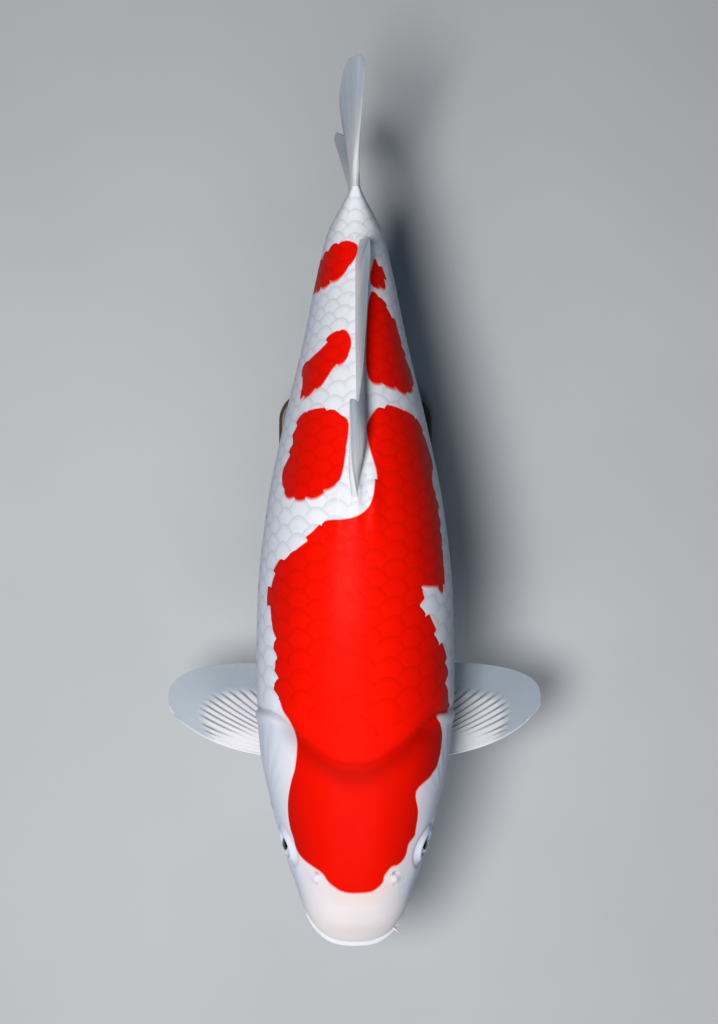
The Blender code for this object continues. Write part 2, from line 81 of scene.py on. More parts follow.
# rows of (position, value...) read as one smooth curve that never overshoots.
def smoothCurve(rows, column=1, rooted=False):
    knots = np.array([row[0] for row in rows], float)
    if rooted:
        knots = np.sqrt(knots)
    values = np.array([row[column] for row in rows], float)
    slopes = np.diff(values) / np.diff(knots)
    product = slopes[:-1] * slopes[1:]
    total = np.where(product > 0, slopes[:-1] + slopes[1:], 1.0)
    inner = np.where(product > 0, 2 * product / total, 0.0)
    tangents = np.concatenate([slopes[:1], inner, slopes[-1:]])

    def read(position):
        place = np.asarray(position, float)
        if rooted:
            place = np.sqrt(np.maximum(place, 0))
        place = np.clip(place, knots[0], knots[-1])
        i = np.clip(np.searchsorted(knots, place, side="right") - 1, 0, len(knots) - 2)
        span = knots[i + 1] - knots[i]
        t = (place - knots[i]) / span
        return ((1 + 2 * t) * (1 - t) ** 2 * values[i] + t * (1 - t) ** 2 * span * tangents[i]
                + t * t * (3 - 2 * t) * values[i + 1] + t * t * (t - 1) * span * tangents[i + 1])
    return read


halfWidth, backHeight, bellyHeight = (smoothCurve(fishForm["stations"], c, True) for c in (1, 2, 3))
roundAbove, roundBelow, levelOffset = (smoothCurve(fishForm["sections"], c) for c in (1, 2, 3))
gillStation = smoothCurve(fishForm["gillEdge"])


def signedPower(value, power):
    return np.sign(value) * np.abs(value) ** power


def mix(low, high, share):
    return low + (high - low) * share


def unit(vectors):
    return vectors / np.maximum(np.linalg.norm(vectors, axis=-1, keepdims=True), 1e-12)


def evenTurns(count):
    return fullTurn * np.arange(count) / count


def bell(distance, width):
    return np.exp(-(distance / width) ** 2)


def ramp(value, low, high):
    t = np.clip((value - low) / (high - low), 0, 1)
    return t * t * (3 - 2 * t)


def fall(value, low, high):
    return 1 - ramp(value, low, high)


# up from start to full, then down from fade to end.
def window(value, start, full, fade, end):
    return ramp(value, start, full) * fall(value, fade, end)


def placed(x, behind, z):
    return np.stack([x + rollLean * z, snoutY + behind + 0 * x, z + axisHeight + 0 * x], -1)


# low swellings that skin and scales share: station, girth angle (1.57 is the back), sizes, height
swellings = [
    (0.592, 1.40, 0.035, 0.065, 0.0024), (0.592, 1.74, 0.035, 0.065, 0.0024),
    (0.614, 1.57, 0.036, 0.052, 0.0066),
    (0.262, -0.55, 0.022, 0.20, 0.0016), (0.262, 3.69, 0.022, 0.20, 0.0016),
    (0.780, -1.57, 0.016, 0.30, 0.0020)]


# point on the fish; angle 0 is the widest level of its left side, a quarter turn its back.
def fishPoint(station, angle):
    across, up = np.cos(angle), np.sin(angle)
    back, belly = backHeight(station), bellyHeight(station)
    level = 0.5 * (back + belly) + levelOffset(station)
    past = station - gillStation(up)
    shoulder = np.where((past >= 0) & (up > 0), fishForm["shoulderStep"] * up, 0.0)
    past = np.maximum(past, 0)
    grow = shoulder * np.exp(-past / 0.06) * (1 - np.exp(-past / 0.008))
    for atStation, atAngle, long, wide, height in swellings:
        turn = np.mod(angle - atAngle + halfTurn, fullTurn) - halfTurn
        grow = grow + height * bell(station - atStation, long) * bell(turn, wide)
    roundness = np.where(up >= 0, roundAbove(station), roundBelow(station))
    halfHeight = np.where(up >= 0, back - level, level - belly) + grow
    x = (halfWidth(station) + grow) * signedPower(across, 2 / roundness)
    z = level + halfHeight * signedPower(up, 2 / roundness)
    return placed(x, station * bodyLength, z)


def fishNormal(station, angle):
    step, turn = 2e-4, 2e-3
    along = fishPoint(station + step, angle) - fishPoint(np.maximum(station - step, 0), angle)
    around = fishPoint(station, angle + turn) - fishPoint(station, angle - turn)
    return unit(np.cross(along, around))


# distance behind the bare head's rear edge.
def pastGill(station, angle):
    return (station - gillStation(np.sin(angle))) * bodyLength


# girth: distance round the body from the back's midline, + on its left
girthSize = {"rows": 301, "columns": 721, "shares": 601}
girthStations = np.linspace(0, 1, girthSize["rows"])
girthAngles = np.linspace(-quarterTurn, 1.5 * halfTurn, girthSize["columns"])
girthGrid = fishPoint(girthStations[:, None], girthAngles[None, :])
girthSteps = np.linalg.norm(np.diff(girthGrid, axis=1), axis=2)
girthRun = np.pad(np.cumsum(girthSteps, axis=1), ((0, 0), (1, 0)))
girthTable = girthRun[:, girthSize["columns"] // 2, None] - girthRun
girthShares = np.linspace(-1, 1, girthSize["shares"])
leftHalf, rightHalf = girthTable[:, 0], -girthTable[:, -1]
angleTable = np.stack([
    np.interp(np.where(girthShares < 0, girthShares * rightHalf[r], girthShares * leftHalf[r]),
              girthTable[r, ::-1], girthAngles[::-1]) for r in range(girthSize["rows"])])


def readGrid(table, rowShare, columnShare):
    rows, columns = table.shape
    r = np.clip(rowShare, 0, 1) * (rows - 1)
    c = np.clip(columnShare, 0, 1) * (columns - 1)
    i = np.minimum(r.astype(int), rows - 2)
    j = np.minimum(c.astype(int), columns - 2)
    r, c = r - i, c - j
    return ((table[i, j] * (1 - c) + table[i, j + 1] * c) * (1 - r)
            + (table[i + 1, j] * (1 - c) + table[i + 1, j + 1] * c) * r)


# girth from the back's midline to the belly's; side is 1 on the left, -1 on the right.
def halfGirth(station, side):
    return np.interp(station, girthStations, leftHalf if side > 0 else rightHalf)


def girthAt(station, angle):
    station = np.asarray(station, float)
    turned = np.mod(angle + quarterTurn, fullTurn)
    return readGrid(girthTable, station, turned / fullTurn)


def angleAt(station, girth):
    station = np.asarray(station, float)
    half = np.where(girth < 0, halfGirth(station, -1), halfGirth(station, 1))
    return readGrid(angleTable, station, 0.5 + 0.5 * girth / half)


# girth angle of the upper surface at a place seen from straight above.
def angleUnder(x, station):
    turns = np.linspace(0, halfTurn, 361)
    return float(np.interp(-x, -fishPoint(station, turns)[:, 0], turns))


print("fish form ready")


# markings: outlines seen from above, (x, behind), read on the body's own girth
markings = {
    "cape": [
        (0.000, 0.0565), (-0.007, 0.0570), (-0.014, 0.0595), (-0.023, 0.0670), (-0.027, 0.0735),
        (-0.032, 0.0780), (-0.043, 0.0845), (-0.048, 0.0895), (-0.052, 0.0960), (-0.053, 0.1035),
        (-0.056, 0.1130), (-0.058, 0.1250), (-0.058, 0.140), (-0.055, 0.157), (-0.051, 0.172),
        (-0.050, 0.191), (-0.055, 0.209), (-0.063, 0.221), (-0.067, 0.240), (-0.065, 0.256),
        (-0.069, 0.275), (-0.074, 0.297), (-0.074, 0.324), (-0.066, 0.344), (-0.052, 0.358),
        (-0.036, 0.370), (-0.024, 0.380), (0.003, 0.386), (0.015, 0.400), (0.018, 0.420),
        (0.012, 0.446), (0.011, 0.465), (0.023, 0.478), (0.041, 0.475), (0.055, 0.467),
        (0.064, 0.449), (0.069, 0.431), (0.067, 0.414), (0.073, 0.395), (0.076, 0.355),
        (0.077, 0.320), (0.067, 0.326), (0.057, 0.322), (0.060, 0.303), (0.068, 0.284),
        (0.078, 0.259), (0.081, 0.236), (0.083, 0.216), (0.071, 0.213), (0.076, 0.198),
        (0.073, 0.173), (0.066, 0.161), (0.053, 0.149), (0.055, 0.130), (0.053, 0.1130),
        (0.052, 0.1075), (0.047, 0.1010), (0.045, 0.0920), (0.042, 0.0860), (0.037, 0.0820),
        (0.032, 0.0812), (0.026, 0.0735), (0.0245, 0.0670), (0.020, 0.0615), (0.013, 0.0575)],
    "rightFront": [
        (-0.005, 0.463), (-0.013, 0.472), (-0.024, 0.476), (-0.045, 0.472), (-0.054, 0.458),
        (-0.056, 0.442), (-0.064, 0.424), (-0.062, 0.407), (-0.055, 0.400), (-0.036, 0.400),
        (-0.017, 0.411), (-0.009, 0.430)],
    "rightMiddle": [
        (-0.009, 0.546), (-0.003, 0.535), (-0.008, 0.519), (-0.021, 0.509), (-0.033, 0.494),
        (-0.048, 0.486), (-0.047, 0.500), (-0.045, 0.517), (-0.031, 0.531), (-0.019, 0.542)],
    "rightRear": [
        (-0.006, 0.626), (0.003, 0.620), (-0.003, 0.605), (-0.015, 0.591), (-0.033, 0.583),
        (-0.040, 0.586), (-0.036, 0.605), (-0.027, 0.618), (-0.016, 0.624)],
    "leftRear": [
        (0.014, 0.580), (0.026, 0.572), (0.034, 0.559), (0.042, 0.533), (0.052, 0.506),
        (0.047, 0.491), (0.029, 0.496), (0.012, 0.503), (0.010, 0.540)],
    "leftLast": [(0.017, 0.612), (0.023, 0.603), (0.028, 0.590), (0.026, 0.583), (0.014, 0.587)],
}
markGrid = {"step": 0.00125, "reach": 0.220, "far": 0.030, "between": 4}


# the corner points joined by a smooth closed curve, in (girth, behind).
def markOutline(corners):
    knots = []
    for x, behind in corners:
        station = behind / bodyLength
        knots.append((float(girthAt(station, angleUnder(x, station))), behind))
    knots = np.array(knots)
    before, after, next2 = np.roll(knots, 1, 0), np.roll(knots, -1, 0), np.roll(knots, -2, 0)
    curve = []
    for t in np.arange(markGrid["between"]) / markGrid["between"]:
        curve.append(0.5 * (2 * knots + (after - before) * t
                            + (2 * before - 5 * knots + 4 * after - next2) * t ** 2
                            + (3 * knots - before - 3 * after + next2) * t ** 3))
    return np.stack(curve, 1).reshape(-1, 2)


# distance to the nearest marking's edge over the whole body, negative inside.
def markField():
    columns = int(2 * markGrid["reach"] / markGrid["step"]) + 1
    rows = int(bodyLength / markGrid["step"]) + 1
    girths = np.linspace(-markGrid["reach"], markGrid["reach"], columns)
    behinds = np.linspace(0, bodyLength, rows)
    field = np.full((rows, columns), markGrid["far"])
    for corners in markings.values():
        outline = markOutline(corners)
        low, high = outline.min(0) - markGrid["far"], outline.max(0) + markGrid["far"]
        js = np.where((girths >= low[0]) & (girths <= high[0]))[0]
        rs = np.where((behinds >= low[1]) & (behinds <= high[1]))[0]
        gx, by = np.meshgrid(girths[js], behinds[rs])
        nearest = np.full(gx.shape, 1.0)
        inside = np.zeros(gx.shape, bool)
        for (ax, ay), (bx, byEnd) in zip(outline, np.roll(outline, -1, 0)):
            dx, dy = bx - ax, byEnd - ay
            t = np.clip(((gx - ax) * dx + (by - ay) * dy) / max(dx * dx + dy * dy, 1e-12), 0, 1)
            nearest = np.minimum(nearest, (gx - ax - t * dx) ** 2 + (by - ay - t * dy) ** 2)
            if ay != byEnd:
                crosses = (ay > by) != (byEnd > by)
                inside ^= crosses & (gx < ax + (by - ay) * dx / dy)
        signed = np.where(inside, -1, 1) * np.sqrt(nearest)
        block = np.ix_(rs, js)
        field[block] = np.minimum(field[block], signed)
    return field


markTable = markField()
markSlope = np.gradient(markTable, markGrid["step"], axis=0)


def markShares(station, girth):
    return np.asarray(station, float), 0.5 + 0.5 * girth / markGrid["reach"]


def markDistance(station, girth):
    return readGrid(markTable, *markShares(station, girth))


# 1 where the nearest edge of a marking is its front one, which blurs under the white scales.
def markFrontness(station, girth):
    return np.clip(-readGrid(markSlope, *markShares(station, girth)), 0, 1)


print("markings ready")


# mesh and material helpers
def gridFaces(rows, columns, closed):
    r = np.arange(rows - 1)[:, None]
    c = np.arange(columns if closed else columns - 1)[None, :]
    a = r * columns + c
    b = r * columns + (c + 1) % columns
    return np.stack([a, a + columns, b + columns, b], -1).reshape(-1, 4)


# faces that close rings of points into one solid: its sides, and a fan round each end's own point.
def ringFaces(rows, columns, turned=False):
    sides = gridFaces(rows, columns, True)
    ring = np.arange(columns)
    after = (ring + 1) % columns
    if turned:
        sides, ring, after = sides[:, ::-1], after, ring
    base, tip = (rows - 1) * columns, rows * columns
    first = np.stack([np.full(columns, tip), ring, after], -1)
    last = np.stack([np.full(columns, tip + 1), base + after, base + ring], -1)
    return sides.tolist() + first.tolist() + last.tolist()


# a shown piece from arrays; corners holds its OFBake place for each face corner.
def meshPiece(name, points, faces, material, attributes=None, corners=None, sharp=None):
    mesh = bpy.data.meshes.new(name)
    mesh.from_pydata(np.asarray(points, np.float32), [], faces)
    mesh.shade_smooth()
    if sharp is not None:
        mesh.set_sharp_from_angle(angle=math.radians(sharp))
    for label, values in (attributes or {}).items():
        values = np.asarray(values, np.float32)
        kind, field = ("FLOAT", "value") if values.ndim == 1 else ("FLOAT_VECTOR", "vector")
        mesh.attributes.new(label, kind, "POINT").data.foreach_set(field, values.ravel())
    if corners is not None:
        layer = mesh.uv_layers.new(name="OFBake")
        layer.data.foreach_set("uv", np.asarray(corners, np.float32).ravel())
    mesh.materials.append(material)
    piece = bpy.data.objects.new(name, mesh)
    bpy.context.scene.collection.objects.link(piece)
    return piece


# the piece moves with the body and stands for the nodes named, which it hides.
def placePiece(piece, slot, *nodes):
    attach(piece, "root")
    if nodes:
        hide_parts(*nodes)


# the material begun last, which the helpers below add nodes to; finish holds what is the same all over.
current = {}


def newMaterial(name, finish):
    material = bpy.data.materials.new(name)
    material.use_nodes = True
    current["tree"] = material.node_tree
    current["shader"] = material.node_tree.nodes["Principled BSDF"]
    for label, value in finish.items():
        current["shader"].inputs[label].default_value = value
    return material


# one shader node; an input is a value or the socket that feeds it.
def addNode(kind, inputs=None, **settings):
    node = current["tree"].nodes.new("ShaderNode" + kind)
    for key, value in settings.items():
        setattr(node, key, value)
    for key, value in (inputs or {}).items():
        if isinstance(value, bpy.types.NodeSocket):
            current["tree"].links.new(value, node.inputs[key])
        else:
            node.inputs[key].default_value = value
    return node


# colour, roughness and alpha are sockets that feed the shader.
def feed(**sources):
    labels = {"colour": "Base Color", "roughness": "Roughness", "alpha": "Alpha"}
    for label, source in sources.items():
        current["tree"].links.new(source, current["shader"].inputs[labels[label]])


def readAttribute(label, output="Fac"):
    return addNode("Attribute", attribute_name=label).outputs[output]


def calc(operation, a, b=0.0, c=0.0, clamp=False):
    return addNode("Math", {0: a, 1: b, 2: c}, operation=operation, use_clamp=clamp).outputs[0]


def blendColour(share, first, second, mode="MIX"):
    node = addNode("Mix", {0: share, 6: first, 7: second}, data_type="RGBA", blend_type=mode)
    return node.outputs[2]


# even waves of a value, -1 to 1.
def waves(value, count):
    return calc("SINE", calc("MULTIPLY", value, count))


# noise in the object's own space; stretch is a scale for each axis.
def noise(scale, detail=3.0, rough=0.55, distortion=0.0, stretch=None):
    where = addNode("TexCoord").outputs["Object"]
    if stretch:
        where = addNode("Mapping", {"Vector": where, "Scale": stretch}).outputs[0]
    return addNode("TexNoise", {"Vector": where, "Scale": scale, "Detail": detail,
                                "Roughness": rough, "Distortion": distortion}).outputs["Fac"]


def spread(value, low, high, toLow=0.0, toHigh=1.0):
    return addNode("MapRange", {"Value": value, "From Min": low, "From Max": high,
                                "To Min": toLow, "To Max": toHigh}).outputs["Result"]


def bumped(height, strength, distance):
    made = addNode("Bump", {"Height": height, "Strength": strength, "Distance": distance})
    current["tree"].links.new(made.outputs["Normal"], current["shader"].inputs["Normal"])


# what skin and scales look like; the head's pale tints and its painted shade in grooves and pits come from
# its folds
koiColours = {
    "red": (0.930, 0.006, 0.0004, 1), "redDeep": (0.800, 0.003, 0.0003, 1),
    "pink": (0.860, 0.420, 0.400, 1), "white": (0.815, 0.830, 0.885, 1),
    "whiteShade": (0.600, 0.650, 0.730, 1), "cream": (0.880, 0.665, 0.600, 1),
    # the crease colour below is painted shade for the head's folds, grooves and pits
    "rim": (0.800, 0.870, 0.930, 1), "creaseShade": (0.470, 0.460, 0.520, 1),
    # the two flank colours: painted shade and a painted bluish reflection down the sides
    "flankShadeWhite": (0.640, 0.690, 0.815, 1), "flankShadeRed": (0.335, 0.0025, 0.0012, 1),
    # painted shade for the scales' outlines
    "scaleEdgeShade": (0.62, 0.50, 0.50, 1),
}
koiGloss = {"Specular IOR Level": 0.025, "Subsurface Radius": (0.004, 0.0015, 0.0010),
            "Subsurface Scale": 1.0}
# edgeFrom and the two edge strengths: painted shade towards each scale's outline, on white and on red
scaleLook = {"growthRings": 95.0, "rays": 90.0, "rayCentre": 1.6, "edgeFrom": 0.72, "whiteEdgeShade": 0.16,
             "deepEdgeShade": 0.30, "pearl": 0.14}


# white to pink to red: "mark" is how far inside a marking, "blur" how soft its edge is, in millimetres
def koiColour(white):
    mark, blur = readAttribute("mark"), readAttribute("blur")
    share = calc("MULTIPLY_ADD", calc("DIVIDE", mark, blur), 0.5, 0.5, clamp=True)
    pinkShare = spread(share, 0.0, 0.5)
    redShare = spread(share, 0.35, 1.0)
    cloud = spread(noise(16.0, 2.0), 0.35, 0.65, 0.0, 0.22)
    # painted shade and a painted bluish reflection down the sides
    flankShade = readAttribute("flankShade")
    red = blendColour(cloud, koiColours["red"], koiColours["redDeep"])
    red = blendColour(flankShade, red, koiColours["flankShadeRed"])
    white = blendColour(flankShade, white, koiColours["flankShadeWhite"])
    pinkish = blendColour(pinkShare, white, koiColours["pink"])
    return blendColour(redShare, pinkish, red)


def makeSkinMaterial():
    material = newMaterial("koiSkin", {**koiGloss, "Subsurface Weight": 0.06})
    white = koiColours["white"]
    for tint in ("cream", "rim"):
        white = blendColour(readAttribute(tint), white, koiColours[tint])
    cloud = spread(noise(28.0), 0.40, 0.70, 0.0, 0.30)
    white = blendColour(cloud, white, koiColours["whiteShade"])
    # painted shade multiplied into the skin along its folds, grooves and pits
    colour = blendColour(readAttribute("creaseShade"), koiColour(white), koiColours["creaseShade"], "MULTIPLY")
    feed(colour=colour, roughness=spread(noise(120.0), 0.3, 0.7, 0.36, 0.50))
    bumped(noise(900.0, 2.0), 0.12, 0.0004)
    return material


def makeScaleMaterial():
    material = newMaterial("koiScale", {**koiGloss, "Subsurface Weight": 0.05})
    space = addNode("SeparateXYZ", {0: readAttribute("scaleSpace", "Vector")})
    across, along, own = space.outputs
    margin = readAttribute("margin")
    growth = waves(margin, scaleLook["growthRings"])
    fan = calc("ARCTAN2", across, calc("ADD", along, scaleLook["rayCentre"]))
    rays = waves(fan, scaleLook["rays"])
    # painted shade towards each scale's outline
    edge = spread(margin, scaleLook["edgeFrom"], 1.0)
    white = blendColour(calc("MULTIPLY", edge, scaleLook["whiteEdgeShade"]),
                        koiColours["white"], koiColours["whiteShade"])
    pearl = spread(own, 0.0, 1.0, 0.0, scaleLook["pearl"])
    white = blendColour(pearl, white, koiColours["whiteShade"])
    colour = blendColour(calc("MULTIPLY", edge, scaleLook["deepEdgeShade"]),
                         koiColour(white), koiColours["scaleEdgeShade"], "MULTIPLY")
    feed(colour=colour, roughness=spread(noise(160.0), 0.3, 0.7, 0.34, 0.46))
    relief = calc("ADD", calc("MULTIPLY", growth, 0.35), rays)
    bumped(relief, 0.035, 0.0003)
    return material


# the skin: one surface from snout to tail, with the head's folds worked into it
headForm = {
    "bareDepth": 0.0003, "coatDepth": 0.0014,      # how far the skin lies inside the solids
    "ringSteps": [(0.027, 0.00110), (0.050, 0.00120), (0.115, 0.00080), (0.222, 0.00120),
                  (0.674, 0.00750)],               # behind, spacing of the rings up to there
    "snoutRings": 64, "columns": 286,
    "denseLow": 6.0, "denseHigh": 68.0, "denseFade": 8.0, "dense": 0.9,
    "mouthHalfWidth": 0.0420, "mouthLevel": -0.0105, "mouthDrop": 0.0030,
    "lipCentre": 0.0036, "lipWidth": 0.0026, "lipHeight": 0.0034, "lowerLip": 0.7, "lipPale": 0.35,
    "lipEnd": 0.0035, "cleftEnd": 0.0020, "chinFold": 0.0092,
    "cover": (-0.86, -0.62, 0.60, 0.80), "plate": (-0.80, -0.60, 0.22, 0.40),
    "jaw": (0.014, 0.022, 0.040, 0.052),
    "coverRay": 0.00013, "coverRays": 34, "coverCentre": (0.128, 0.020),
    "nostril": (0.0345, 0.0705),                   # beside the midline, behind the snout
}

# folds, each a few lines side by side: place across it, width, height, painted shade
headFolds = {
    "cover": [(-0.0050, 0.0044, 0.0015, 0), (0.0014, 0.0022, -0.0021, 0), (0.0016, 0.0024, 0, 0.50)],
    "nape": [(-0.0060, 0.0085, -0.0016, 0), (-0.0065, 0.0115, 0, 0.62)],
    "plate": [(-0.0030, 0.0030, 0.0005, 0), (0, 0.0019, -0.0007, 0), (0, 0.0022, 0, 0.20)],
    "cleft": [(0, 0.00095, -0.0040, 0.9)],
    "aboveLip": [(0.0082, 0.0017, -0.0030, 0.7)],
    "belowLip": [(0, 0.0016, -0.0012, 0.3)],
    "jaw": [(0, 0.0018, -0.0012, 0), (0, 0.0020, 0, 0.3)],
    "throatFirst": [(0, 0.0022, -0.0015, 0.3)],
    "throatSecond": [(0, 0.0020, -0.0007, 0)],
}

# nostril: place behind its middle, curve, width, length, height, painted shade, paleness
nostrilForms = [
    (0, 0, 0.0062, 0.0085, 0.0006, 0, 0),               # the low collar round it
    (0.0042, -120, 0.0022, 0.0013, -0.0028, 0.95, 0),   # the wider rear pit
    (-0.0066, 0, 0.0013, 0.0010, -0.0010, 0.4, 0),      # the small front pit
    (-0.0012, 0, 0.0030, 0.0036, 0.0014, 0, 0.7),       # the flap between them
]

# rows of sensory pores: number, reach along the head, middle height, lift round the eye
poreRows = [(11, 0.030, -0.0215), (9, 0.027, 0.0170)]
poreForm = {"behind": 0.0925, "height": 0.0245, "from": -70, "turn": 200, "size": 0.0008, "depth": 0.00025}

bothSides = {"left": 1, "right": -1}
eyeBoxes = {label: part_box("eye_" + label) for label in bothSides}
eyeForm = {"gazeUp": 30.0, "gazeFront": 2.0, "ballShrink": 0.0006, "ballOut": 0.0010,
           "rimRadius": 0.0128, "rimWidth": 0.0023, "rimHeight": 0.0019, "paleWidth": 0.0029,
           "moat": 0.0064, "moatWidth": 0.0024, "moatDepth": 0.0011,
           "dipInner": 0.0090, "dipOuter": 0.0112, "dip": 0.0055}


def eyeAxis(side):
    up, front = math.radians(eyeForm["gazeUp"]), math.radians(eyeForm["gazeFront"])
    return np.array([side * math.cos(up) * math.cos(front), -math.cos(up) * math.sin(front),
                     math.sin(up) + side * rollLean * 0.5])


def eyeCentre(label):
    low, high = eyeBoxes[label]
    return np.array((low + high) / 2)


# painted shade and a painted bluish reflection: the colours darken and cool from the back down the flanks, 0
# to 1.
def flankShadeShare(angle):
    return 0.80 * fall(np.sin(angle), 0.25, 1.08)


# height of the skin over its own plain form, and the tints that go with the folds: painted shade in their
# grooves and pits, and pale rims.
def headRelief(station, angle, point):
    up = np.sin(angle)
    z = point[..., 2] - axisHeight
    x = point[..., 0] - rollLean * z
    behind = station * bodyLength
    side = np.abs(x)
    past = pastGill(station, angle)
    relief, creaseShade = np.zeros(station.shape), np.zeros(station.shape)

    # each fold raises or sinks the skin and paints shade along its groove
    def fold(name, across, zone):
        for at, width, height, shade in headFolds[name]:
            form = zone * bell(across - at, width)
            relief[:] += height * form
            creaseShade[:] += shade * form

    # gill cover: its soft rear margin, the nape's step, the front plate's edge and faint rays
    cover = window(up, *headForm["cover"])
    fold("cover", past, cover)
    fold("nape", past, ramp(up, *headForm["cover"][2:]))
    plateBack = (0.197 - 0.020 * (up + 0.05) ** 2 / 0.3) * bodyLength
    fold("plate", behind - plateBack, window(up, *headForm["plate"]))
    rayBehind, rayZ = headForm["coverCentre"]
    fan = np.arctan2(behind - rayBehind, z - rayZ)
    onCover = cover * ramp(behind, 0.140, 0.158) * ramp(-past, 0.004, 0.012)
    relief += headForm["coverRay"] * onCover * np.sin(fan * headForm["coverRays"])

    # mouth: two lips about a cleft that runs down to the corners
    half, drop = headForm["mouthHalfWidth"], headForm["mouthDrop"]
    level = headForm["mouthLevel"] - drop * (x / half) ** 2
    away = (z - level) / np.sqrt(1 + (2 * drop * side / half ** 2) ** 2)
    cornerZ = headForm["mouthLevel"] - drop
    beyond = np.hypot(np.maximum(side - half, 0), z - cornerZ)
    away = np.where(side > half, np.sign(z - cornerZ + 1e-9) * beyond, away)
    front = fall(station, 0.040, 0.060)
    ends = fall(side, half, half + headForm["lipEnd"]) * front
    taper = 1 - 0.26 * ramp(side, 0.25 * half, 0.80 * half)
    lipAt, lipWide = headForm["lipCentre"] * taper, headForm["lipWidth"]
    lips = bell(away - lipAt, lipWide * taper) + headForm["lowerLip"] * bell(away + lipAt, lipWide * taper)
    relief += headForm["lipHeight"] * ends * taper * lips
    rim = headForm["lipPale"] * ends * bell(away - lipAt, lipWide)
    fold("cleft", away, fall(side, half, half + headForm["cleftEnd"]) * front)
    deeper = 0.45 + 0.55 * ramp(side, 0.20 * half, 0.75 * half)
    fold("aboveLip", away, fall(side, half + 0.002, half + 0.006) * front * deeper)
    fold("belowLip", away + headForm["chinFold"] * taper, ends)
    # the upper jaw's fold, from the mouth's corner back and down
    jaw = (side - half - 0.002) + 0.55 * (z - cornerZ) - 0.10 * (behind - 0.020)
    fold("jaw", jaw, window(behind, *headForm["jaw"]) * fall(z, -0.020, -0.008))

    nx, nb = side - headForm["nostril"][0], behind - headForm["nostril"][1]
    upper = ramp(z, 0.0, 0.015)
    # nostril forms: painted shade in the pits, a paler flap
    for at, bend, wide, long, height, shade, pale in nostrilForms:
        form = bell(nx, wide) * bell(nb - at - bend * nx ** 2, long) * upper
        relief += height * form
        creaseShade += shade * form
        rim = np.maximum(rim, pale * form)

    # brow, cheek hollow before the eye, the dip across the snout and the skull's two low ridges
    turn = np.where(np.cos(angle) >= 0, angle, halfTurn - angle)
    relief += 0.0012 * bell(turn - 0.62, 0.13) * bell(behind - 0.094, 0.024)
    relief -= 0.0012 * bell(turn - 0.25, 0.22) * bell(behind - 0.054, 0.014)
    relief -= 0.0009 * bell(behind - 0.043, 0.012) * ramp(up, 0.3, 0.9)
    relief += 0.0006 * bell(side - 0.022, 0.012) * bell(behind - 0.120, 0.050) * ramp(up, 0.5, 0.9)

    # throat: the two folds of the gill membranes that meet under the chin
    throat = fall(up, -0.75, -0.55) * ramp(-past, 0.002, 0.010)
    fold("throatFirst", side - 0.006 - 0.30 * (behind - 0.050), throat * ramp(behind, 0.045, 0.065))
    fold("throatSecond", side - 0.020 - 0.26 * (behind - 0.055), throat * ramp(behind, 0.060, 0.080))

    # sensory pores: a row under the eye and one over it
    for pores, reach, lift in poreRows:
        for k in range(pores):
            turnAt = math.radians(poreForm["from"] + poreForm["turn"] * k / (pores - 1))
            poreBehind = poreForm["behind"] - reach * math.cos(turnAt)
            arch = 0.55 + 0.45 * math.sin(math.radians(180 * (k + 1) / pores % 180))
            spot = np.hypot(behind - poreBehind, z - poreForm["height"] - lift * arch)
            relief -= poreForm["depth"] * bell(spot, poreForm["size"]) * ramp(side, 0.030, 0.040)

    # orbits: a raised pale rim, then the skin dips under the ball
    for label, way in bothSides.items():
        reach = point - eyeCentre(label)
        axis = eyeAxis(way)
        onAxis = reach @ axis
        off = np.linalg.norm(reach - onAxis[..., None] * axis, axis=-1)
        off = np.where(onAxis > 0, off, 1.0)
        lift = reach @ np.cross(axis, [0, way, 0])
        inner = 0.55 + 0.45 * ramp(lift / np.maximum(off, 1e-4), -0.5, 0.6)
        fromRim = off - eyeForm["rimRadius"]
        relief += eyeForm["rimHeight"] * inner * bell(fromRim, eyeForm["rimWidth"])
        relief -= eyeForm["moatDepth"] * bell(fromRim - eyeForm["moat"], eyeForm["moatWidth"])
        relief -= eyeForm["dip"] * fall(off, eyeForm["dipInner"], eyeForm["dipOuter"])
        rim = np.maximum(rim, bell(fromRim - 0.0002, eyeForm["paleWidth"]))
        rim = np.maximum(rim, fall(off, 0.0080, 0.0100))
        # painted shade in the ring where the skin dips under the ball
        creaseShade += 0.9 * bell(off - eyeForm["dipInner"], 0.0009)
    return relief, np.clip(creaseShade, 0, 1), np.clip(rim, 0, 1)


# girth angles, closer together over the eyes, nostrils and cheeks.
def skinColumns():
    turns = np.linspace(-90, 270, 7201)
    mirrored = np.where(turns > 90, 180 - turns, turns)
    low, high, fade = (headForm[k] for k in ("denseLow", "denseHigh", "denseFade"))
    weight = 1 + headForm["dense"] * window(mirrored, low - fade, low, high, high + fade)
    run = np.concatenate([[0], np.cumsum(0.5 * (weight[1:] + weight[:-1]))])
    wanted = np.linspace(0, run[-1], headForm["columns"] + 1)[:-1]
    return np.radians(np.interp(wanted, run, turns))


# stations of the rings; on the snout they are even in its width.
def skinRings():
    steps = headForm["ringSteps"]
    roots = np.linspace(0, math.sqrt(steps[0][0] / bodyLength), headForm["snoutRings"])[1:]
    rings = list(roots ** 2)
    for (start, _), (end, spacing) in zip(steps, steps[1:]):
        count = round((end - start) / spacing)
        rings += [(start + (end - start) * (k + 1) / count) / bodyLength for k in range(count)]
    return np.array(rings)


# the skin's own unwrap: once round the girth, by once along the body.
def unwrapped(angle, station):
    return np.stack([(angle + quarterTurn) / fullTurn, 0.02 + 0.96 * station], -1)


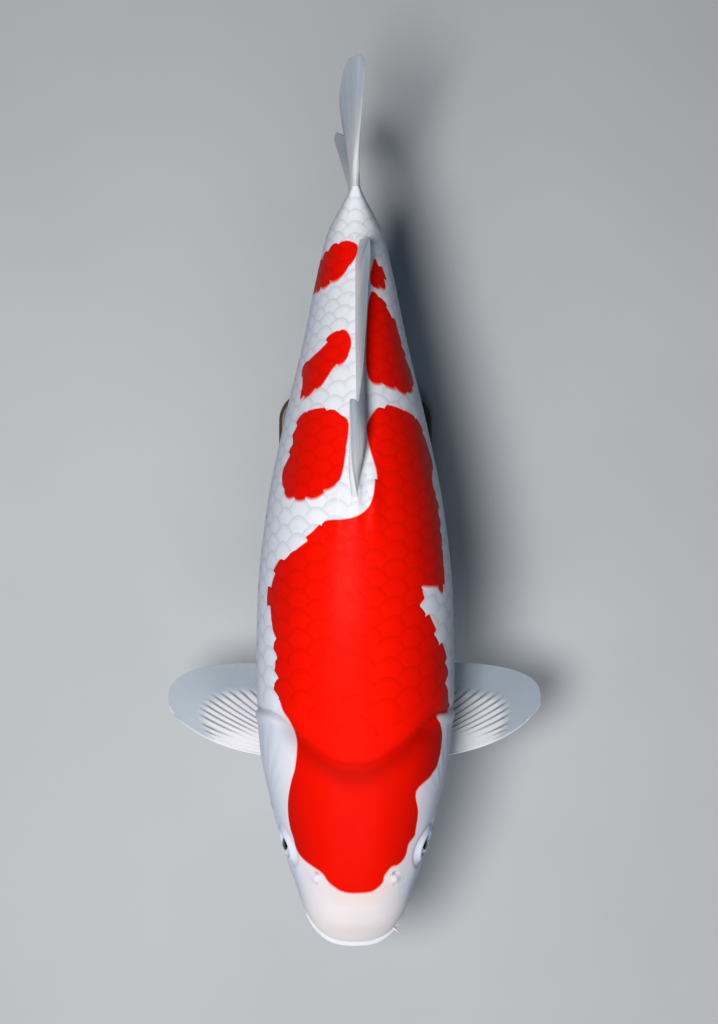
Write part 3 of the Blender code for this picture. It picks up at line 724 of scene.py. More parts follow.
# a place on the unwrap for every face corner of the skin, in the order of its faces.
def skinCorners(stations, angles):
    places = unwrapped(*np.meshgrid(np.append(angles, 1.5 * halfTurn), stations))
    rows, columns = places.shape[:2]
    corners = [places.reshape(-1, 2)[gridFaces(rows, columns, False)].reshape(-1, 2)]
    for edge, tip, order in ((places[0], 0.016, 1), (places[-1], 0.984, -1)):
        fan = np.stack([0.5 * (edge[1:] + edge[:-1])] + [edge[:-1], edge[1:]][::order], 1)
        fan[:, 0, 1] = tip
        corners.append(fan.reshape(-1, 2))
    return np.concatenate(corners)


def makeSkin(material):
    stations, angles = skinRings(), skinColumns()
    station, angle = np.meshgrid(stations, angles, indexing="ij")
    point, normal = fishPoint(station, angle), fishNormal(station, angle)
    relief, creaseShade, rim = headRelief(station, angle, point)
    past = pastGill(station, angle)
    depth = mix(headForm["bareDepth"], headForm["coatDepth"], ramp(past, 0.0, 0.010))
    point = point + normal * (relief - depth)[..., None]
    girth = girthAt(station, angle)
    distance = markDistance(station, girth)
    behind = station * bodyLength
    blur = 0.7 + 0.5 * markFrontness(station, girth)

    # cream beside the red of the head and over the snout
    cream = 0.95 * bell(distance, 0.019) * fall(behind, 0.10, 0.16)
    cream = np.maximum(cream, 0.72 * bell(distance, 0.012) * fall(past, 0, 0.01))
    snout = fall(behind, 0.05, 0.12) * ramp(point[..., 2] - axisHeight, -0.02, 0.02)
    cream = np.maximum(cream, 0.45 * snout)
    bare = fall(past, -0.012, 0.0)
    # painted shade and bluish reflection down the flanks, and a little over all the bare head
    flankShade = np.clip(0.20 * bare + (1 + 0.2 * bare) * flankShadeShare(angle), 0, 1) * ramp(station, 0.02, 0.10)

    tip = placed(np.array(0.0), 0.0, np.array(-0.010)) + np.array([0, 0.0003, 0])
    points = np.concatenate([point.reshape(-1, 3), tip[None], point[-1].mean(0)[None]])
    faces = ringFaces(*station.shape)
    tints = {"mark": -1000 * distance, "blur": blur, "creaseShade": creaseShade, "rim": rim, "cream": cream,
             "flankShade": flankShade}
    tints = {label: np.append(grid.ravel(), [grid[0].mean(), grid[-1].mean()])
             for label, grid in tints.items()}
    skin = meshPiece("koi_skin", points, faces, material, tints, skinCorners(stations, angles), sharp=70)
    placePiece(skin, "koi_skin", "head", "gill_cover_left", "gill_cover_right", "lip_upper", "lip_lower",
               "trunk", "tail_stem")
    print("skin:", len(faces), "faces,", len(stations), "rings")


makeSkin(makeSkinMaterial())


# scales: rows along the body, each plate domed and lapped over the one behind
scaleForm = {
    "pitch": [(0.18, 0.0165), (0.28, 0.0178), (0.40, 0.0173), (0.56, 0.0148), (0.75, 0.0126),
              (0.95, 0.0106), (1.02, 0.0098)],
    "rowHeight": [(0.18, 0.0185), (0.28, 0.0208), (0.40, 0.0210), (0.56, 0.0190), (0.75, 0.0160),
                  (0.95, 0.0132), (1.02, 0.0120)],
    "rows": 9, "lengthShare": 1.06, "widthShare": 0.90, "lastStation": 0.981,
    "leftShift": 0.13, "middleShift": 0.31, "rowEnd": 0.36,     # in scales
    "thickness": 0.00034, "tuck": 0.0014, "rise": 0.00092, "dome": 0.00020, "sideFall": 0.00016,
    "uneven": 0.00012, "tailSink": 0.0010, "coverSink": 0.0034, "napeSink": 0.0024,
    "sectors": 28, "rings": 6, "squareness": 0.05, "bakePatch": 0.0015,
    # how far a scale pushes its colour over a marking's edge, in millimetres, front and rear
    "push": 7.6, "pushLess": 5.6, "frontBlur": 7.0,
    "pieces": ["scales_shoulder", "scales_flank", "scales_tail"],
}


# how far the first scales sink under the gill cover's edge and the bare nape.
def gillTuck(past, up):
    nape = ramp(up, 0.60, 0.80)
    underCover = (1 - nape) * scaleForm["coverSink"] * fall(past, 0.0005, 0.0070)
    return underCover + nape * scaleForm["napeSink"] * fall(past, 0.002, 0.028)


# (station, row, side) of each scale, in rows from the lateral line up and down.
def scaleSites():
    pitchAt, heightAt = smoothCurve(scaleForm["pitch"]), smoothCurve(scaleForm["rowHeight"])
    fine = np.linspace(0.16, 1.02, 1721)
    count = np.concatenate([[0], np.cumsum((fine[1] - fine[0]) * bodyLength / pitchAt(fine[1:]))])
    sites = []
    for side, lateral in ((1, 0.0), (-1, halfTurn)):
        for row in range(-scaleForm["rows"], scaleForm["rows"] + 1):
            shift = 0.5 * (row % 2) + (scaleForm["leftShift"] if side > 0 else 0.0)
            for k in range(int(count[-1])):
                station = float(np.interp(k + shift, count, fine))
                if station > scaleForm["lastStation"]:
                    continue
                height = float(heightAt(station))
                toBack = abs(float(girthAt(station, lateral)))
                toBelly = float(halfGirth(station, side)) - toBack
                reach = (abs(row) + scaleForm["rowEnd"]) * height
                if reach <= (toBack if row > 0 else toBelly) or row == 0:
                    sites.append((station, row, side))
    for k in range(int(count[-1])):
        station = float(np.interp(k + scaleForm["middleShift"], count, fine))
        if station <= scaleForm["lastStation"]:
            sites += [(station, 0, 0), (station, 0, 2)]     # the middle rows of back and belly
    return np.array(sites, float), pitchAt, heightAt


# girth of a row's middle line; sides 0 and 2 are the rows on the back and belly midlines.
def rowGirth(station, row, side, heightAt):
    left, right = girthAt(station, 0 * station), girthAt(station, 0 * station + halfTurn)
    lateral = np.where(side == 1, left, right)
    sideways = lateral - np.where(side == 1, 1, -1) * row * heightAt(station)
    return np.where(side == 0, 0.0, np.where(side == 2, halfGirth(station, 1), sideways))


# one plate as rings: its top from the middle out, then its underside; the two middles come last.
def scalePlate():
    sectors, rings = scaleForm["sectors"], scaleForm["rings"]
    ringRho = np.append(np.arange(1, rings + 1) / rings, [0.985, 0.55])
    rho = np.append(np.repeat(ringRho, sectors), [0.0, 0.0])
    turn = np.append(np.tile(evenTurns(sectors), rings + 2), [0.0, 0.0])
    isLow = np.append(np.arange(len(rho) - 2) >= rings * sectors, [False, True])
    squareness = 1 + scaleForm["squareness"] * np.cos(4 * turn) * rho ** 2
    along, across = rho * np.cos(turn) * squareness, rho * np.sin(turn) * squareness
    return rho, along, across, isLow, ringFaces(rings + 2, sectors)


# "mark" and "blur" of the points of the scales.
def scaleMarks(s, girth, side, past, across, isRed):
    frontness = markFrontness(s, girth)
    push = scaleForm["push"] - scaleForm["pushLess"] * ramp(s, 0.38, 0.52)
    push = push * ramp(np.abs(girth), 0.010, 0.028) * (1 - frontness) * ramp(past, 0.004, 0.020)
    mark = -1000 * markDistance(s, girth) + np.where(isRed, push, -push)
    mark = mark + scaleForm["frontBlur"] * (0.12 - across ** 2) * frontness
    return np.where(side == 2, -20.0, mark), 0.6 + ramp(frontness, 0.55, 0.9)


def makeScales(material):
    sites, pitchAt, heightAt = scaleSites()
    station, row, side = sites.T
    angle = angleAt(station, rowGirth(station, row, side, heightAt))
    angle = np.where(side == 2, -quarterTurn, angle)
    past = pastGill(station, angle)
    keep = past > (0.30 + 0.70 * ramp(np.sin(angle), 0.60, 0.80)) * pitchAt(station)
    order = np.argsort(station[keep], kind="stable")
    station, row, side = (values[keep][order][:, None] for values in (station, row, side))
    number = len(station)
    own = np.random.default_rng(7).random(number)[:, None]
    visible = station + 0.45 * pitchAt(station) / bodyLength
    centreDistance = markDistance(visible, rowGirth(station, row, side, heightAt))
    isRed = (centreDistance < 0) & (side != 2)

    rho, along, across, isLow, plate = scalePlate()
    s = station + along * scaleForm["lengthShare"] * pitchAt(station) / bodyLength
    girth = rowGirth(s, row, side, heightAt) + across * scaleForm["widthShare"] * heightAt(station)
    left, right = halfGirth(s, 1), halfGirth(s, -1)
    girth = np.where(girth > left, girth - (left + right), girth)
    girth = np.where(girth < -right, girth + left + right, girth)
    angle = angleAt(s, girth)
    past = pastGill(s, angle)
    height = (-scaleForm["tuck"] + scaleForm["rise"] * (0.5 + 0.5 * along)
              + scaleForm["dome"] * (1 - rho ** 2) - scaleForm["sideFall"] * np.abs(across) ** 3
              + (own - 0.5) * scaleForm["uneven"])
    height = height - np.where(isLow, scaleForm["thickness"] * (1.0 + 0.6 * (1 - rho)), 0.0)
    height = height - gillTuck(past, np.sin(angle)) - scaleForm["tailSink"] * ramp(s, 0.968, 0.994)
    point = fishPoint(s, angle) + fishNormal(s, angle) * height[..., None]
    mark, blur = scaleMarks(s, girth, side, past, across, isRed)

    # the bake map: a small patch for each scale at its root's place on the skin's unwrap
    rootMap = np.clip(unwrapped(np.mod(angle[:, -2] + quarterTurn, fullTurn) - quarterTurn,
                                station[:, 0]), 0.003, 0.997)
    patch = scaleForm["bakePatch"] * np.stack([across, along], -1) * np.where(isLow, 0.82, 1.0)[:, None]
    places = rootMap[:, None, :] + patch
    space = np.stack(np.broadcast_arrays(across, along, own), -1)
    margin = np.broadcast_to(rho, s.shape)
    # flank share: painted shade and bluish reflection down the sides
    values = {"mark": mark, "blur": blur, "margin": margin, "flankShade": flankShadeShare(angle)}

    plateCorners = np.array([corner for face in plate for corner in face])
    names = scaleForm["pieces"]
    cuts = [round(number * k / len(names)) for k in range(len(names) + 1)]
    for name, first, last in zip(names, cuts, cuts[1:]):
        some = slice(first, last)
        starts = len(rho) * np.arange(last - first)
        faces = [[corner + start for corner in face] for start in starts.tolist() for face in plate]
        loops = (plateCorners + starts[:, None]).ravel()
        attributes = {label: grid[some].ravel() for label, grid in values.items()}
        attributes["scaleSpace"] = space[some].reshape(-1, 3)
        piece = meshPiece(name, point[some].reshape(-1, 3), faces, material, attributes,
                          places[some].reshape(-1, 2)[loops], sharp=55)
        placePiece(piece, "koi_skin")
    print("scales:", number, "on the body,", int(isRed.sum()), "red")


makeScales(makeScaleMaterial())


# eyes: the iris and its rings are angles from the gaze
irisForm = {"pupil": 0.52, "iris": 0.90, "turns": 64, "steps": 44, "crowding": 1.15,
            "cornea": 0.035, "corneaEdge": (0.62, 0.80, 0.80, 1.6)}
irisColours = {"pupil": (0.004, 0.004, 0.006, 1), "light": (0.62, 0.67, 0.72, 1),
               "dark": (0.44, 0.48, 0.52, 1), "ring": (0.66, 0.66, 0.60, 1),
               "white": (0.66, 0.70, 0.76, 1)}


def makeEyeMaterial():
    material = newMaterial("koiEye", {"Coat Weight": 1.0, "Coat Roughness": 0.02})
    pupil, iris = irisForm["pupil"], irisForm["iris"]
    out = readAttribute("gazeAngle")
    where = readAttribute("irisPlace", "Vector")
    fleck = addNode("TexNoise", {"Vector": where, "Scale": 3.2, "Detail": 4.0}).outputs["Fac"]
    colour = blendColour(spread(fleck, 0.35, 0.7), irisColours["light"], irisColours["dark"])
    ring = spread(out, pupil + 0.02, pupil + 0.09, 1.0, 0.0)
    colour = blendColour(ring, colour, irisColours["ring"])
    colour = blendColour(spread(out, iris, iris + 0.05), colour, irisColours["white"])
    colour = blendColour(spread(out, pupil - 0.015, pupil + 0.015), irisColours["pupil"], colour)
    feed(colour=colour, roughness=spread(out, pupil, iris, 0.05, 0.25))
    return material


def makeEye(label, side, material):
    low, high = eyeBoxes[label]
    radius = 0.5 * (high.x - low.x) - eyeForm["ballShrink"]
    axis = unit(eyeAxis(side))
    first = unit(np.cross(axis, [0, 0, 1.0]))
    second = np.cross(first, axis)
    steps, turns = irisForm["steps"], irisForm["turns"]
    out, turn = np.meshgrid(halfTurn * (np.arange(1, steps) / steps) ** irisForm["crowding"],
                            evenTurns(turns), indexing="ij")
    # the clear front bulges a little, with a soft step where it meets the white
    size = radius * (1 - irisForm["cornea"] * window(out, *irisForm["corneaEdge"]))
    flat = np.stack([np.sin(out) * np.cos(turn), np.sin(out) * np.sin(turn), out], -1)
    ball = axis * np.cos(out)[..., None] + flat[..., :1] * first + flat[..., 1:2] * second
    points = np.concatenate([(ball * size[..., None]).reshape(-1, 3), [axis * radius, -axis * radius]])
    points = points + eyeCentre(label) + axis * eyeForm["ballOut"]
    eye = meshPiece("eyeball_" + label, points, ringFaces(steps - 1, turns, True), material,
                    {"gazeAngle": np.append(out.ravel(), [0, halfTurn]),
                     "irisPlace": np.concatenate([flat.reshape(-1, 3), [[0, 0, 0], [0, 0, 3.1]]])})
    placePiece(eye, "koi_eye", "eye_" + label)


eyeMaterial = makeEyeMaterial()
for label, side in bothSides.items():
    makeEye(label, side, eyeMaterial)
print("eyes ready")


# barbels
barbelForm = {       # root and tip: x, behind, z, and the root's radius
    "front_left": ((0.0335, 0.0150, -0.0060), (0.0410, 0.0080, -0.0120), 0.00100),
    "front_right": ((-0.0405, 0.0250, -0.0150), (-0.0430, 0.0370, -0.0260), 0.00110),
    "rear_left": ((0.0385, 0.0330, -0.0270), (0.0400, 0.0400, -0.0500), 0.00150),
    "rear_right": ((-0.0385, 0.0330, -0.0270), (-0.0400, 0.0400, -0.0500), 0.00150),
}
barbelGrid = {"steps": 26, "sides": 16, "start": -0.10, "taper": 0.62, "roundFrom": 0.93,
              "roundLong": 0.075, "sag": 0.004}
barbelFinish = {"Coat Weight": 0.4, "Coat Roughness": 0.15, "Roughness": 0.35, "Subsurface Weight": 0.15,
                "Subsurface Radius": (0.003, 0.0015, 0.001)}


def curveThrough(start, control, end, t):
    return start * (1 - t) ** 2 + control * 2 * t * (1 - t) + end * t * t


# rings square to a spine, with a point at each end.
def tubePoints(spine, radii, sides):
    along = unit(np.gradient(spine, axis=0))
    side = unit(np.cross(along, [0, 0, 1.0]))
    up = np.cross(side, along)
    turn = evenTurns(sides)
    ring = side[:, None] * np.cos(turn)[None, :, None] + up[:, None] * np.sin(turn)[None, :, None]
    rings = spine[:, None] + radii[:, None, None] * ring
    return np.concatenate([rings.reshape(-1, 3), spine[:1], spine[-1:]])


def makeBarbels():
    material = newMaterial("koiBarbel", barbelFinish)
    tint = spread(noise(300.0), 0.3, 0.7)
    feed(colour=blendColour(tint, (0.80, 0.70, 0.64, 1), (0.78, 0.76, 0.76, 1)))
    bumped(noise(1500.0), 0.15, 0.0002)
    grid, sag = barbelGrid, barbelGrid["sag"]
    for label, (root, tip, radius) in barbelForm.items():
        start, end = (placed(np.array(p[0]), p[1], np.array(p[2])) for p in (root, tip))
        bend = 0.5 * (start + end) + np.array([math.copysign(sag, root[0]), -sag, 0.5 * sag])
        t = np.linspace(grid["start"], 1, grid["steps"])
        share = np.clip(t, 0, 1)
        towardsTip = np.clip((share - grid["roundFrom"]) / grid["roundLong"], 0, 1)
        radii = radius * (1 - grid["taper"] * share) * np.sqrt(1 - towardsTip ** 2)
        points = tubePoints(curveThrough(start, bend, end, t[:, None]), radii, grid["sides"])
        piece = meshPiece("feeler_" + label, points, ringFaces(grid["steps"], grid["sides"]), material)
        placePiece(piece, "koi_skin", "barbel_" + label)


makeBarbels()
print("barbels ready")


# fins: a skin over rays that fork twice towards the edge. u runs along the root, t out to the edge
pectoralForm = {"rootX": 0.0700, "rootIn": 0.0120, "rootFront": 0.162, "rootRear": 0.192,
                "rootZ": -0.0430, "rootFall": 0.0100, "edgeX": 0.0840, "edgeBehind": 0.2155,
                "reach": 0.0895, "trail": 0.0325, "lead": 0.0277, "roundness": 2.65,
                "leadTurn": -28.0, "droop": 0.0120, "bowOut": 0.0205, "bowFront": 0.0110,
                "camber": 0.004, "sunk": 0.14}
pelvicForm = {"x": 0.0250, "front": 0.352, "rear": 0.382, "z": -0.0860, "length": 0.094,
              "shorten": 0.34, "spread": 0.44, "sunk": 0.10}
dorsalForm = {"front": 0.575, "rear": 0.895, "sink": 0.0060, "rise": 15.0, "riseFall": 7.0,
              "length": [(0.00, 0.0965), (0.05, 0.0865), (0.10, 0.0750), (0.14, 0.0640), (0.22, 0.0590),
                         (0.40, 0.0520), (0.65, 0.0450), (0.88, 0.0460), (0.94, 0.0355), (1.00, 0.0220)],
              "lean": [(0.00, -0.0058), (0.05, -0.0045), (0.10, -0.0012), (0.14, 0.0015), (0.22, 0.0035),
                       (0.30, 0.0055), (0.50, 0.008), (0.70, 0.010), (0.84, 0.0125), (0.92, 0.0110),
                       (1.00, 0.0040)],
              "fold": [(0.00, 0.000), (0.10, 0.003), (0.20, 0.006), (0.32, 0.004), (0.50, 0.002),
                       (0.70, 0.000), (1.00, 0.000)]}
analForm = {"front": 0.800, "rear": 0.872, "sink": 0.0050, "fall": 46.0, "fallLess": 8.0,
            "length": [(0.0, 0.074), (0.10, 0.086), (0.45, 0.068), (0.82, 0.048), (1.0, 0.026)]}
tailForm = {"rootLow": -0.043, "rootTall": 0.089, "sunk": 0.07,
            # share of the way down the edge: behind the root, height, swing
            "edge": [(0.00, 0.0950, 0.0950, 0.0078), (0.04, 0.1030, 0.0925, 0.0028),
                     (0.10, 0.1030, 0.0800, -0.0052), (0.18, 0.0960, 0.0640, -0.0105),
                     (0.30, 0.0800, 0.0400, -0.0135), (0.46, 0.0600, 0.0080, -0.0108),
                     (0.54, 0.0560, -0.0080, -0.0095), (0.74, 0.0640, -0.0440, -0.0130),
                     (0.90, 0.0720, -0.0780, -0.0172), (0.96, 0.0700, -0.0880, -0.0182),
                     (1.00, 0.0620, -0.0900, -0.0165)]}


# reach along a fin: below 0 where its root runs into the body.
def reachFrom(form, t):
    return (1 + form["sunk"]) * t - form["sunk"]


def pectoralSurface(side, u, t):
    form = pectoralForm
    turn = np.radians(mix(form["leadTurn"], 90, np.clip(u, 0, 1)))
    power = 2 / form["roundness"]
    endX = form["edgeX"] + form["reach"] * np.maximum(np.cos(turn), 0) ** power
    deep = np.where(turn > 0, form["trail"], form["lead"])
    endBehind = form["edgeBehind"] + deep * signedPower(np.sin(turn), power)
    rootX = form["rootX"] - form["rootIn"] * u
    rootBehind = mix(form["rootFront"], form["rootRear"], u)
    bow = np.clip(1 - u, 0, 1) ** 1.5
    reach = reachFrom(form, t)
    x = curveThrough(rootX, 0.5 * (rootX + endX) + form["bowOut"] * bow, endX, reach)
    middle = 0.5 * (rootBehind + endBehind) - form["bowFront"] * bow
    behind = curveThrough(rootBehind, middle, endBehind, reach)
    out = np.maximum(reach, 0)
    camber = form["camber"] * np.sin(halfTurn * out) * np.sin(halfTurn * u)
    z = form["rootZ"] - form["rootFall"] * u - form["droop"] * out ** 1.5 + camber
    return placed(side * x, behind, z)


def pelvicSurface(side, u, t):
    form = pelvicForm
    reach = reachFrom(form, t)
    full = 0.90 + 0.10 * np.sin(halfTurn * np.minimum(1, 2 * u))
    length = form["length"] * (1 - form["shorten"] * u * u) * full
    outwards = form["spread"] * np.clip(1 - u, 0, 1) ** 0.8 + 0.02
    way = unit(np.stack([outwards, 0.84 + 0 * u, -0.42 - 0.04 * u], -1)) * (length * reach)[..., None]
    out = np.maximum(reach, 0) ** 2
    behind = mix(form["front"], form["rear"], u) + way[..., 1] + 0.006 * out
    return placed(side * (form["x"] - 0.006 * u + way[..., 0]), behind,
                  form["z"] + way[..., 2] + 0.004 * out)


dorsalLength, dorsalLean, dorsalFold = (smoothCurve(dorsalForm[k]) for k in ("length", "lean", "fold"))
analLength = smoothCurve(analForm["length"])
tailBehind, tailHeight, tailSwing = (smoothCurve(tailForm["edge"], c) for c in (1, 2, 3))


# root line of a fin on the body's midline: angle is a quarter turn on the back.
def midlineRoot(form, u, angle):
    return fishPoint(mix(form["front"], form["rear"], u), 0 * u + angle)


def dorsalSurface(side, u, t):
    form = dorsalForm
    rise = np.radians(form["rise"] - form["riseFall"] * u)
    reach = dorsalLength(u) * t
    lift = reach * np.sin(rise) - form["sink"] * (1 - t) + 0.003 * np.sin(halfTurn * t)
    later = ramp(u, 0.08, 0.24)
    sway = dorsalLean(u) * (ramp(t, -0.10, 0.45) * (1 - later) + t ** 1.2 * later)
    sway = sway + dorsalFold(u) * np.sin(halfTurn * t)
    return midlineRoot(form, u, quarterTurn) + np.stack([sway, reach * np.cos(rise), lift], -1)


def analSurface(side, u, t):
    form = analForm
    slope = np.radians(form["fall"] - form["fallLess"] * u)
    reach = analLength(u) * t
    way = np.stack([-0.003 * t, reach * np.cos(slope) + 0.004 * t * t,
                    form["sink"] * (1 - t) - reach * np.sin(slope)], -1)
    return midlineRoot(form, u, 1.5 * halfTurn) + way


def tailSurface(side, u, t):
    t = reachFrom(tailForm, t)
    out = np.maximum(t, 0)
    rootZ = tailForm["rootLow"] + tailForm["rootTall"] * (1 - u)
    z = mix(rootZ, tailHeight(u), out) - 0.006 * (1 - 2 * u) * np.sin(halfTurn * out)
    z = z * (1 + 1.5 * np.minimum(t, 0) - 0.030 * bell(out, 0.09))
    return placed(tailSwing(u) * out * (1 - (1 - out) ** 6), bodyLength + tailBehind(u) * t, z)


# 1 on the middle of a ray, 0 half way to the next.
def raySaw(phase):
    return 1 - 2 * np.abs(np.mod(phase, 1.0) - 0.5)


# height of the rays, 0 to 1: each forks at the given reaches.
def finRays(u, t, rays, forks):
    ridge = ramp(raySaw(u * rays), 0.30, 1.0)
    for k, at in enumerate(forks):
        finer = ramp(raySaw(u * rays * 2 ** (k + 1) + 0.5), 0.25, 1.0)
        share = ramp(t, at - 0.10, at + 0.10)
        ridge = ridge * (1 - share) + finer * share
    return ridge


# half a fin's thickness: swollen at the root; the dorsal's first ray is stout.
def finHalf(form, u, t):
    swell = form["rootHalf"] * (1 - t) ** 1.8 * (1 - form["thinning"] * u)
    stout = form["stout"] * np.maximum(0, 1 - u / 0.12) * fall(t, 0.25, 0.60)
    return form["edgeHalf"] + swell + stout


# the tail's root is as round as the stem's end; its two long edges stay thick further out.
def tailHalf(form, u, t):
    fromMiddle = np.abs(2 * u - 1)
    oval = np.clip(1 - fromMiddle ** form["oval"], 0, 1) ** (1 / form["oval"])
    oval = oval + (1 - oval) * ramp(t, 0.08, 0.26)
    return form["edgeHalf"] + form["rootHalf"] * oval * (1 - t) ** (3.2 - 1.4 * fromMiddle)


# how deep the furrows between the rays are, 0 to 1; the same share sets their painted shade.
def finFurrows(form, u, t, out):
    furrowAndShade = fall(raySaw(u * form["rays"]), 0.0, form["furrowWidth"])
    starts = form["furrowStart"] * np.clip(1 - u, 0, 1) ** 1.6
    ends = form["furrowEnd"]
    return furrowAndShade * ramp(t, starts, starts + 0.20) * fall(out, ends - 0.04, ends + 0.06) * ramp(u, 0.02, 0.16)


# quads between two equal grids of points, back to back, and the rim that joins them.
def finFaces(columns, rows):
    stride, count = rows + 1, (columns + 1) * (rows + 1)
    front = gridFaces(columns + 1, stride, False)
    loop = [k * stride for k in range(columns + 1)]
    loop += [columns * stride + k for k in range(1, rows + 1)]
    loop += [k * stride + rows for k in range(columns - 1, -1, -1)]
    loop += list(range(rows - 1, 0, -1))
    rim = [(q, p, count + p, count + q) for p, q in zip(loop, loop[1:] + loop[:1])]
    return np.concatenate([front, front[:, [0, 3, 2, 1]] + count, rim]).tolist()


# a closed fin from its middle surface, thickness, rays, furrows and edge.
def makeFin(name, node, surface, side, material, form):
    form = {**plainFin, **form}
    u, t = np.meshgrid(np.linspace(0, 1, form["columns"] + 1), np.linspace(0, 1, form["rows"] + 1),
                       indexing="ij")
    ridge = finRays(u, t, form["rays"], form["forks"])
    reach = t * (1 - form["notch"] * (1 - ridge) * ramp(t, 0.80, 1.0))
    small = 1e-3
    alongU = (surface(side, np.minimum(u + small, 1), reach)
              - surface(side, np.maximum(u - small, 0), reach))
    alongT = surface(side, u, reach + small) - surface(side, u, np.maximum(reach - small, 0))
    normal = unit(np.cross(alongU, alongT))
    out = t - form["bow"] * np.sin(halfTurn * u)
    furrowAndShade = finFurrows(form, u, t, out)
    lead = bell(u, form["leadWidth"]) + form["leadBoth"] * bell(1 - u, form["leadWidth"])
    lead = lead * ramp(t, *form["leadFrom"])
    thick = (form["half"](form, u, t) + form["ray"] * ridge * (1 - 0.65 * t)
             + form["lead"] * lead * (1 - 0.6 * t))
    inwards = np.minimum(np.minimum(u, 1 - u) / form["edgeRound"], 1)
    thick = np.maximum(thick * np.sqrt(1 - (1 - inwards) ** 2), form["least"])[..., None]
    wave = form["wave"] * np.sin(fullTurn * (1.5 * u + 0.2)) * t ** 2
    middle = surface(side, u, reach) + normal * (wave - form["pleat"] * furrowAndShade)[..., None]
    points = np.concatenate([(middle + normal * thick).reshape(-1, 3),
                             (middle - normal * thick).reshape(-1, 3)])
    bright = np.maximum(form["leadTint"] * bell(u, 1.4 * form["leadWidth"]) * fall(t, 0.92, 1.0),
                        form["tipTint"] * bell(1 - t, 0.030) * fall(u, 0.05, 0.24))
    tints = {"reach": out, "ray": ridge + 0.5 * (1 - ridge) * ramp(out, 0.50, 0.75),
             "furrowAndShade": furrowAndShade, "lead": np.clip(bright, 0, 1)}
    tints = {label: np.tile(grid.ravel(), 2) for label, grid in tints.items()}
    fin = meshPiece(name, points, finFaces(form["columns"], form["rows"]), material, tints, sharp=70)
    placePiece(fin, "koi_fin", node)


finColours = {"root": (0.63, 0.625, 0.66, 1), "edge": (0.42, 0.49, 0.57, 1),
              # the furrow colour: painted shade for the grooves between the rays
              "web": (0.36, 0.43, 0.52, 1), "furrowAndShade": (0.15, 0.16, 0.21, 1),
              "lead": (0.84, 0.87, 0.92, 1)}
finLook = {"Coat Weight": 0.05, "Coat Roughness": 0.25, "Specular IOR Level": 0.3, "Roughness": 0.48}


# white and opaque near the body, clearing towards the edge between the rays.
def makeFinMaterial(name, clearFrom, clearTo, clearest):
    material = newMaterial(name, finLook)
    reach, ray, furrowAndShade, lead = (readAttribute(k) for k in ("reach", "ray", "furrowAndShade", "lead"))
    ripple = calc("MULTIPLY", calc("SUBTRACT", noise(60.0), 0.5), 0.10)
    out = calc("ADD", reach, ripple)
    out = calc("MULTIPLY_ADD", furrowAndShade, 0.09, out)
    clear = spread(out, clearFrom, clearTo)
    clear = calc("MULTIPLY", clear, calc("SUBTRACT", 1.0, lead, clamp=True))
    colour = blendColour(clear, finColours["root"], finColours["edge"])
    faint = calc("MULTIPLY", calc("SUBTRACT", 1.0, ray), 0.05)
    # painted shade in the furrows between the rays
    deep = calc("MULTIPLY", furrowAndShade, 0.72)
    for share, tint in ((faint, "web"), (deep, "furrowAndShade"), (lead, "lead")):
        colour = blendColour(share, colour, finColours[tint])
    web = calc("MULTIPLY", clear, spread(ray, 0.0, 1.0, 1.0 - clearest, 0.92 - clearest))
    feed(colour=colour, alpha=calc("SUBTRACT", 1.0, web, clamp=True))
    bumped(calc("MULTIPLY", waves(reach, 190.0), ray), 0.08, 0.0003)
    return material


# what most fins share; lengths in metres, places as shares of the root or the reach
plainFin = {"half": finHalf, "edgeHalf": 0.00024, "rootHalf": 0.0016, "thinning": 0, "stout": 0,
            "least": 0.00018, "edgeRound": 0.030, "rows": 40, "pleat": 0.0, "bow": 0.0,
            "furrowWidth": 0.4, "furrowStart": 0.3, "furrowEnd": 0.0, "leadWidth": 0.030,
            "leadBoth": 0, "leadFrom": (-1, -0.5), "tipTint": 0.0}
finForms = {
    "pectoral": {"rays": 14, "columns": 224, "rows": 64, "forks": (0.60, 0.80), "notch": 0.004,
                 "edgeHalf": 0.00022, "rootHalf": 0.0019, "thinning": 0.5, "pleat": 0.0010,
                 "furrowWidth": 0.50, "furrowStart": 0.60, "furrowEnd": 0.58, "bow": 0.13,
                 "wave": 0.0008, "ray": 0.00010, "lead": 0.0011, "leadTint": 0.85, "tipTint": 0.8},
    "pelvic": {"rays": 9, "columns": 108, "rows": 48, "forks": (0.42, 0.70), "notch": 0.010,
               "edgeHalf": 0.00022, "pleat": 0.0006, "furrowWidth": 0.50, "furrowEnd": 0.55,
               "bow": 0.05, "wave": 0.0006, "ray": 0.00020, "lead": 0.0006, "edgeRound": 0.040,
               "leadTint": 0.5},
    "dorsal": {"rays": 21, "columns": 252, "forks": (0.45, 0.75), "notch": 0.006, "stout": 0.0018,
               "furrowStart": 0.2, "wave": 0.0004, "ray": 0.00014, "lead": 0.0007,
               "leadWidth": 0.022, "leadTint": 0.3},
    "anal": {"rays": 8, "columns": 96, "forks": (0.42, 0.72), "notch": 0.012, "rootHalf": 0.0020,
             "pleat": 0.0003, "furrowEnd": 0.5, "wave": 0.0005, "ray": 0.00030, "lead": 0.0010,
             "leadWidth": 0.026, "edgeRound": 0.040, "leadTint": 0.4},
    "tail": {"rays": 20, "columns": 240, "rows": 72, "forks": (0.36, 0.62, 0.84), "notch": 0.008,
             "half": tailHalf, "rootHalf": 0.0054, "oval": 3.4, "wave": 0.0006, "ray": 0.00026,
             "lead": 0.0012, "leadBoth": 1, "edgeRound": 0.075, "leadFrom": (0.06, 0.22),
             "leadTint": 0.1},
}
pairedMaterial = makeFinMaterial("koiPairedFin", 0.53, 0.63, 0.50)
middleMaterial = makeFinMaterial("koiMiddleFin", 0.30, 0.75, 0.58)
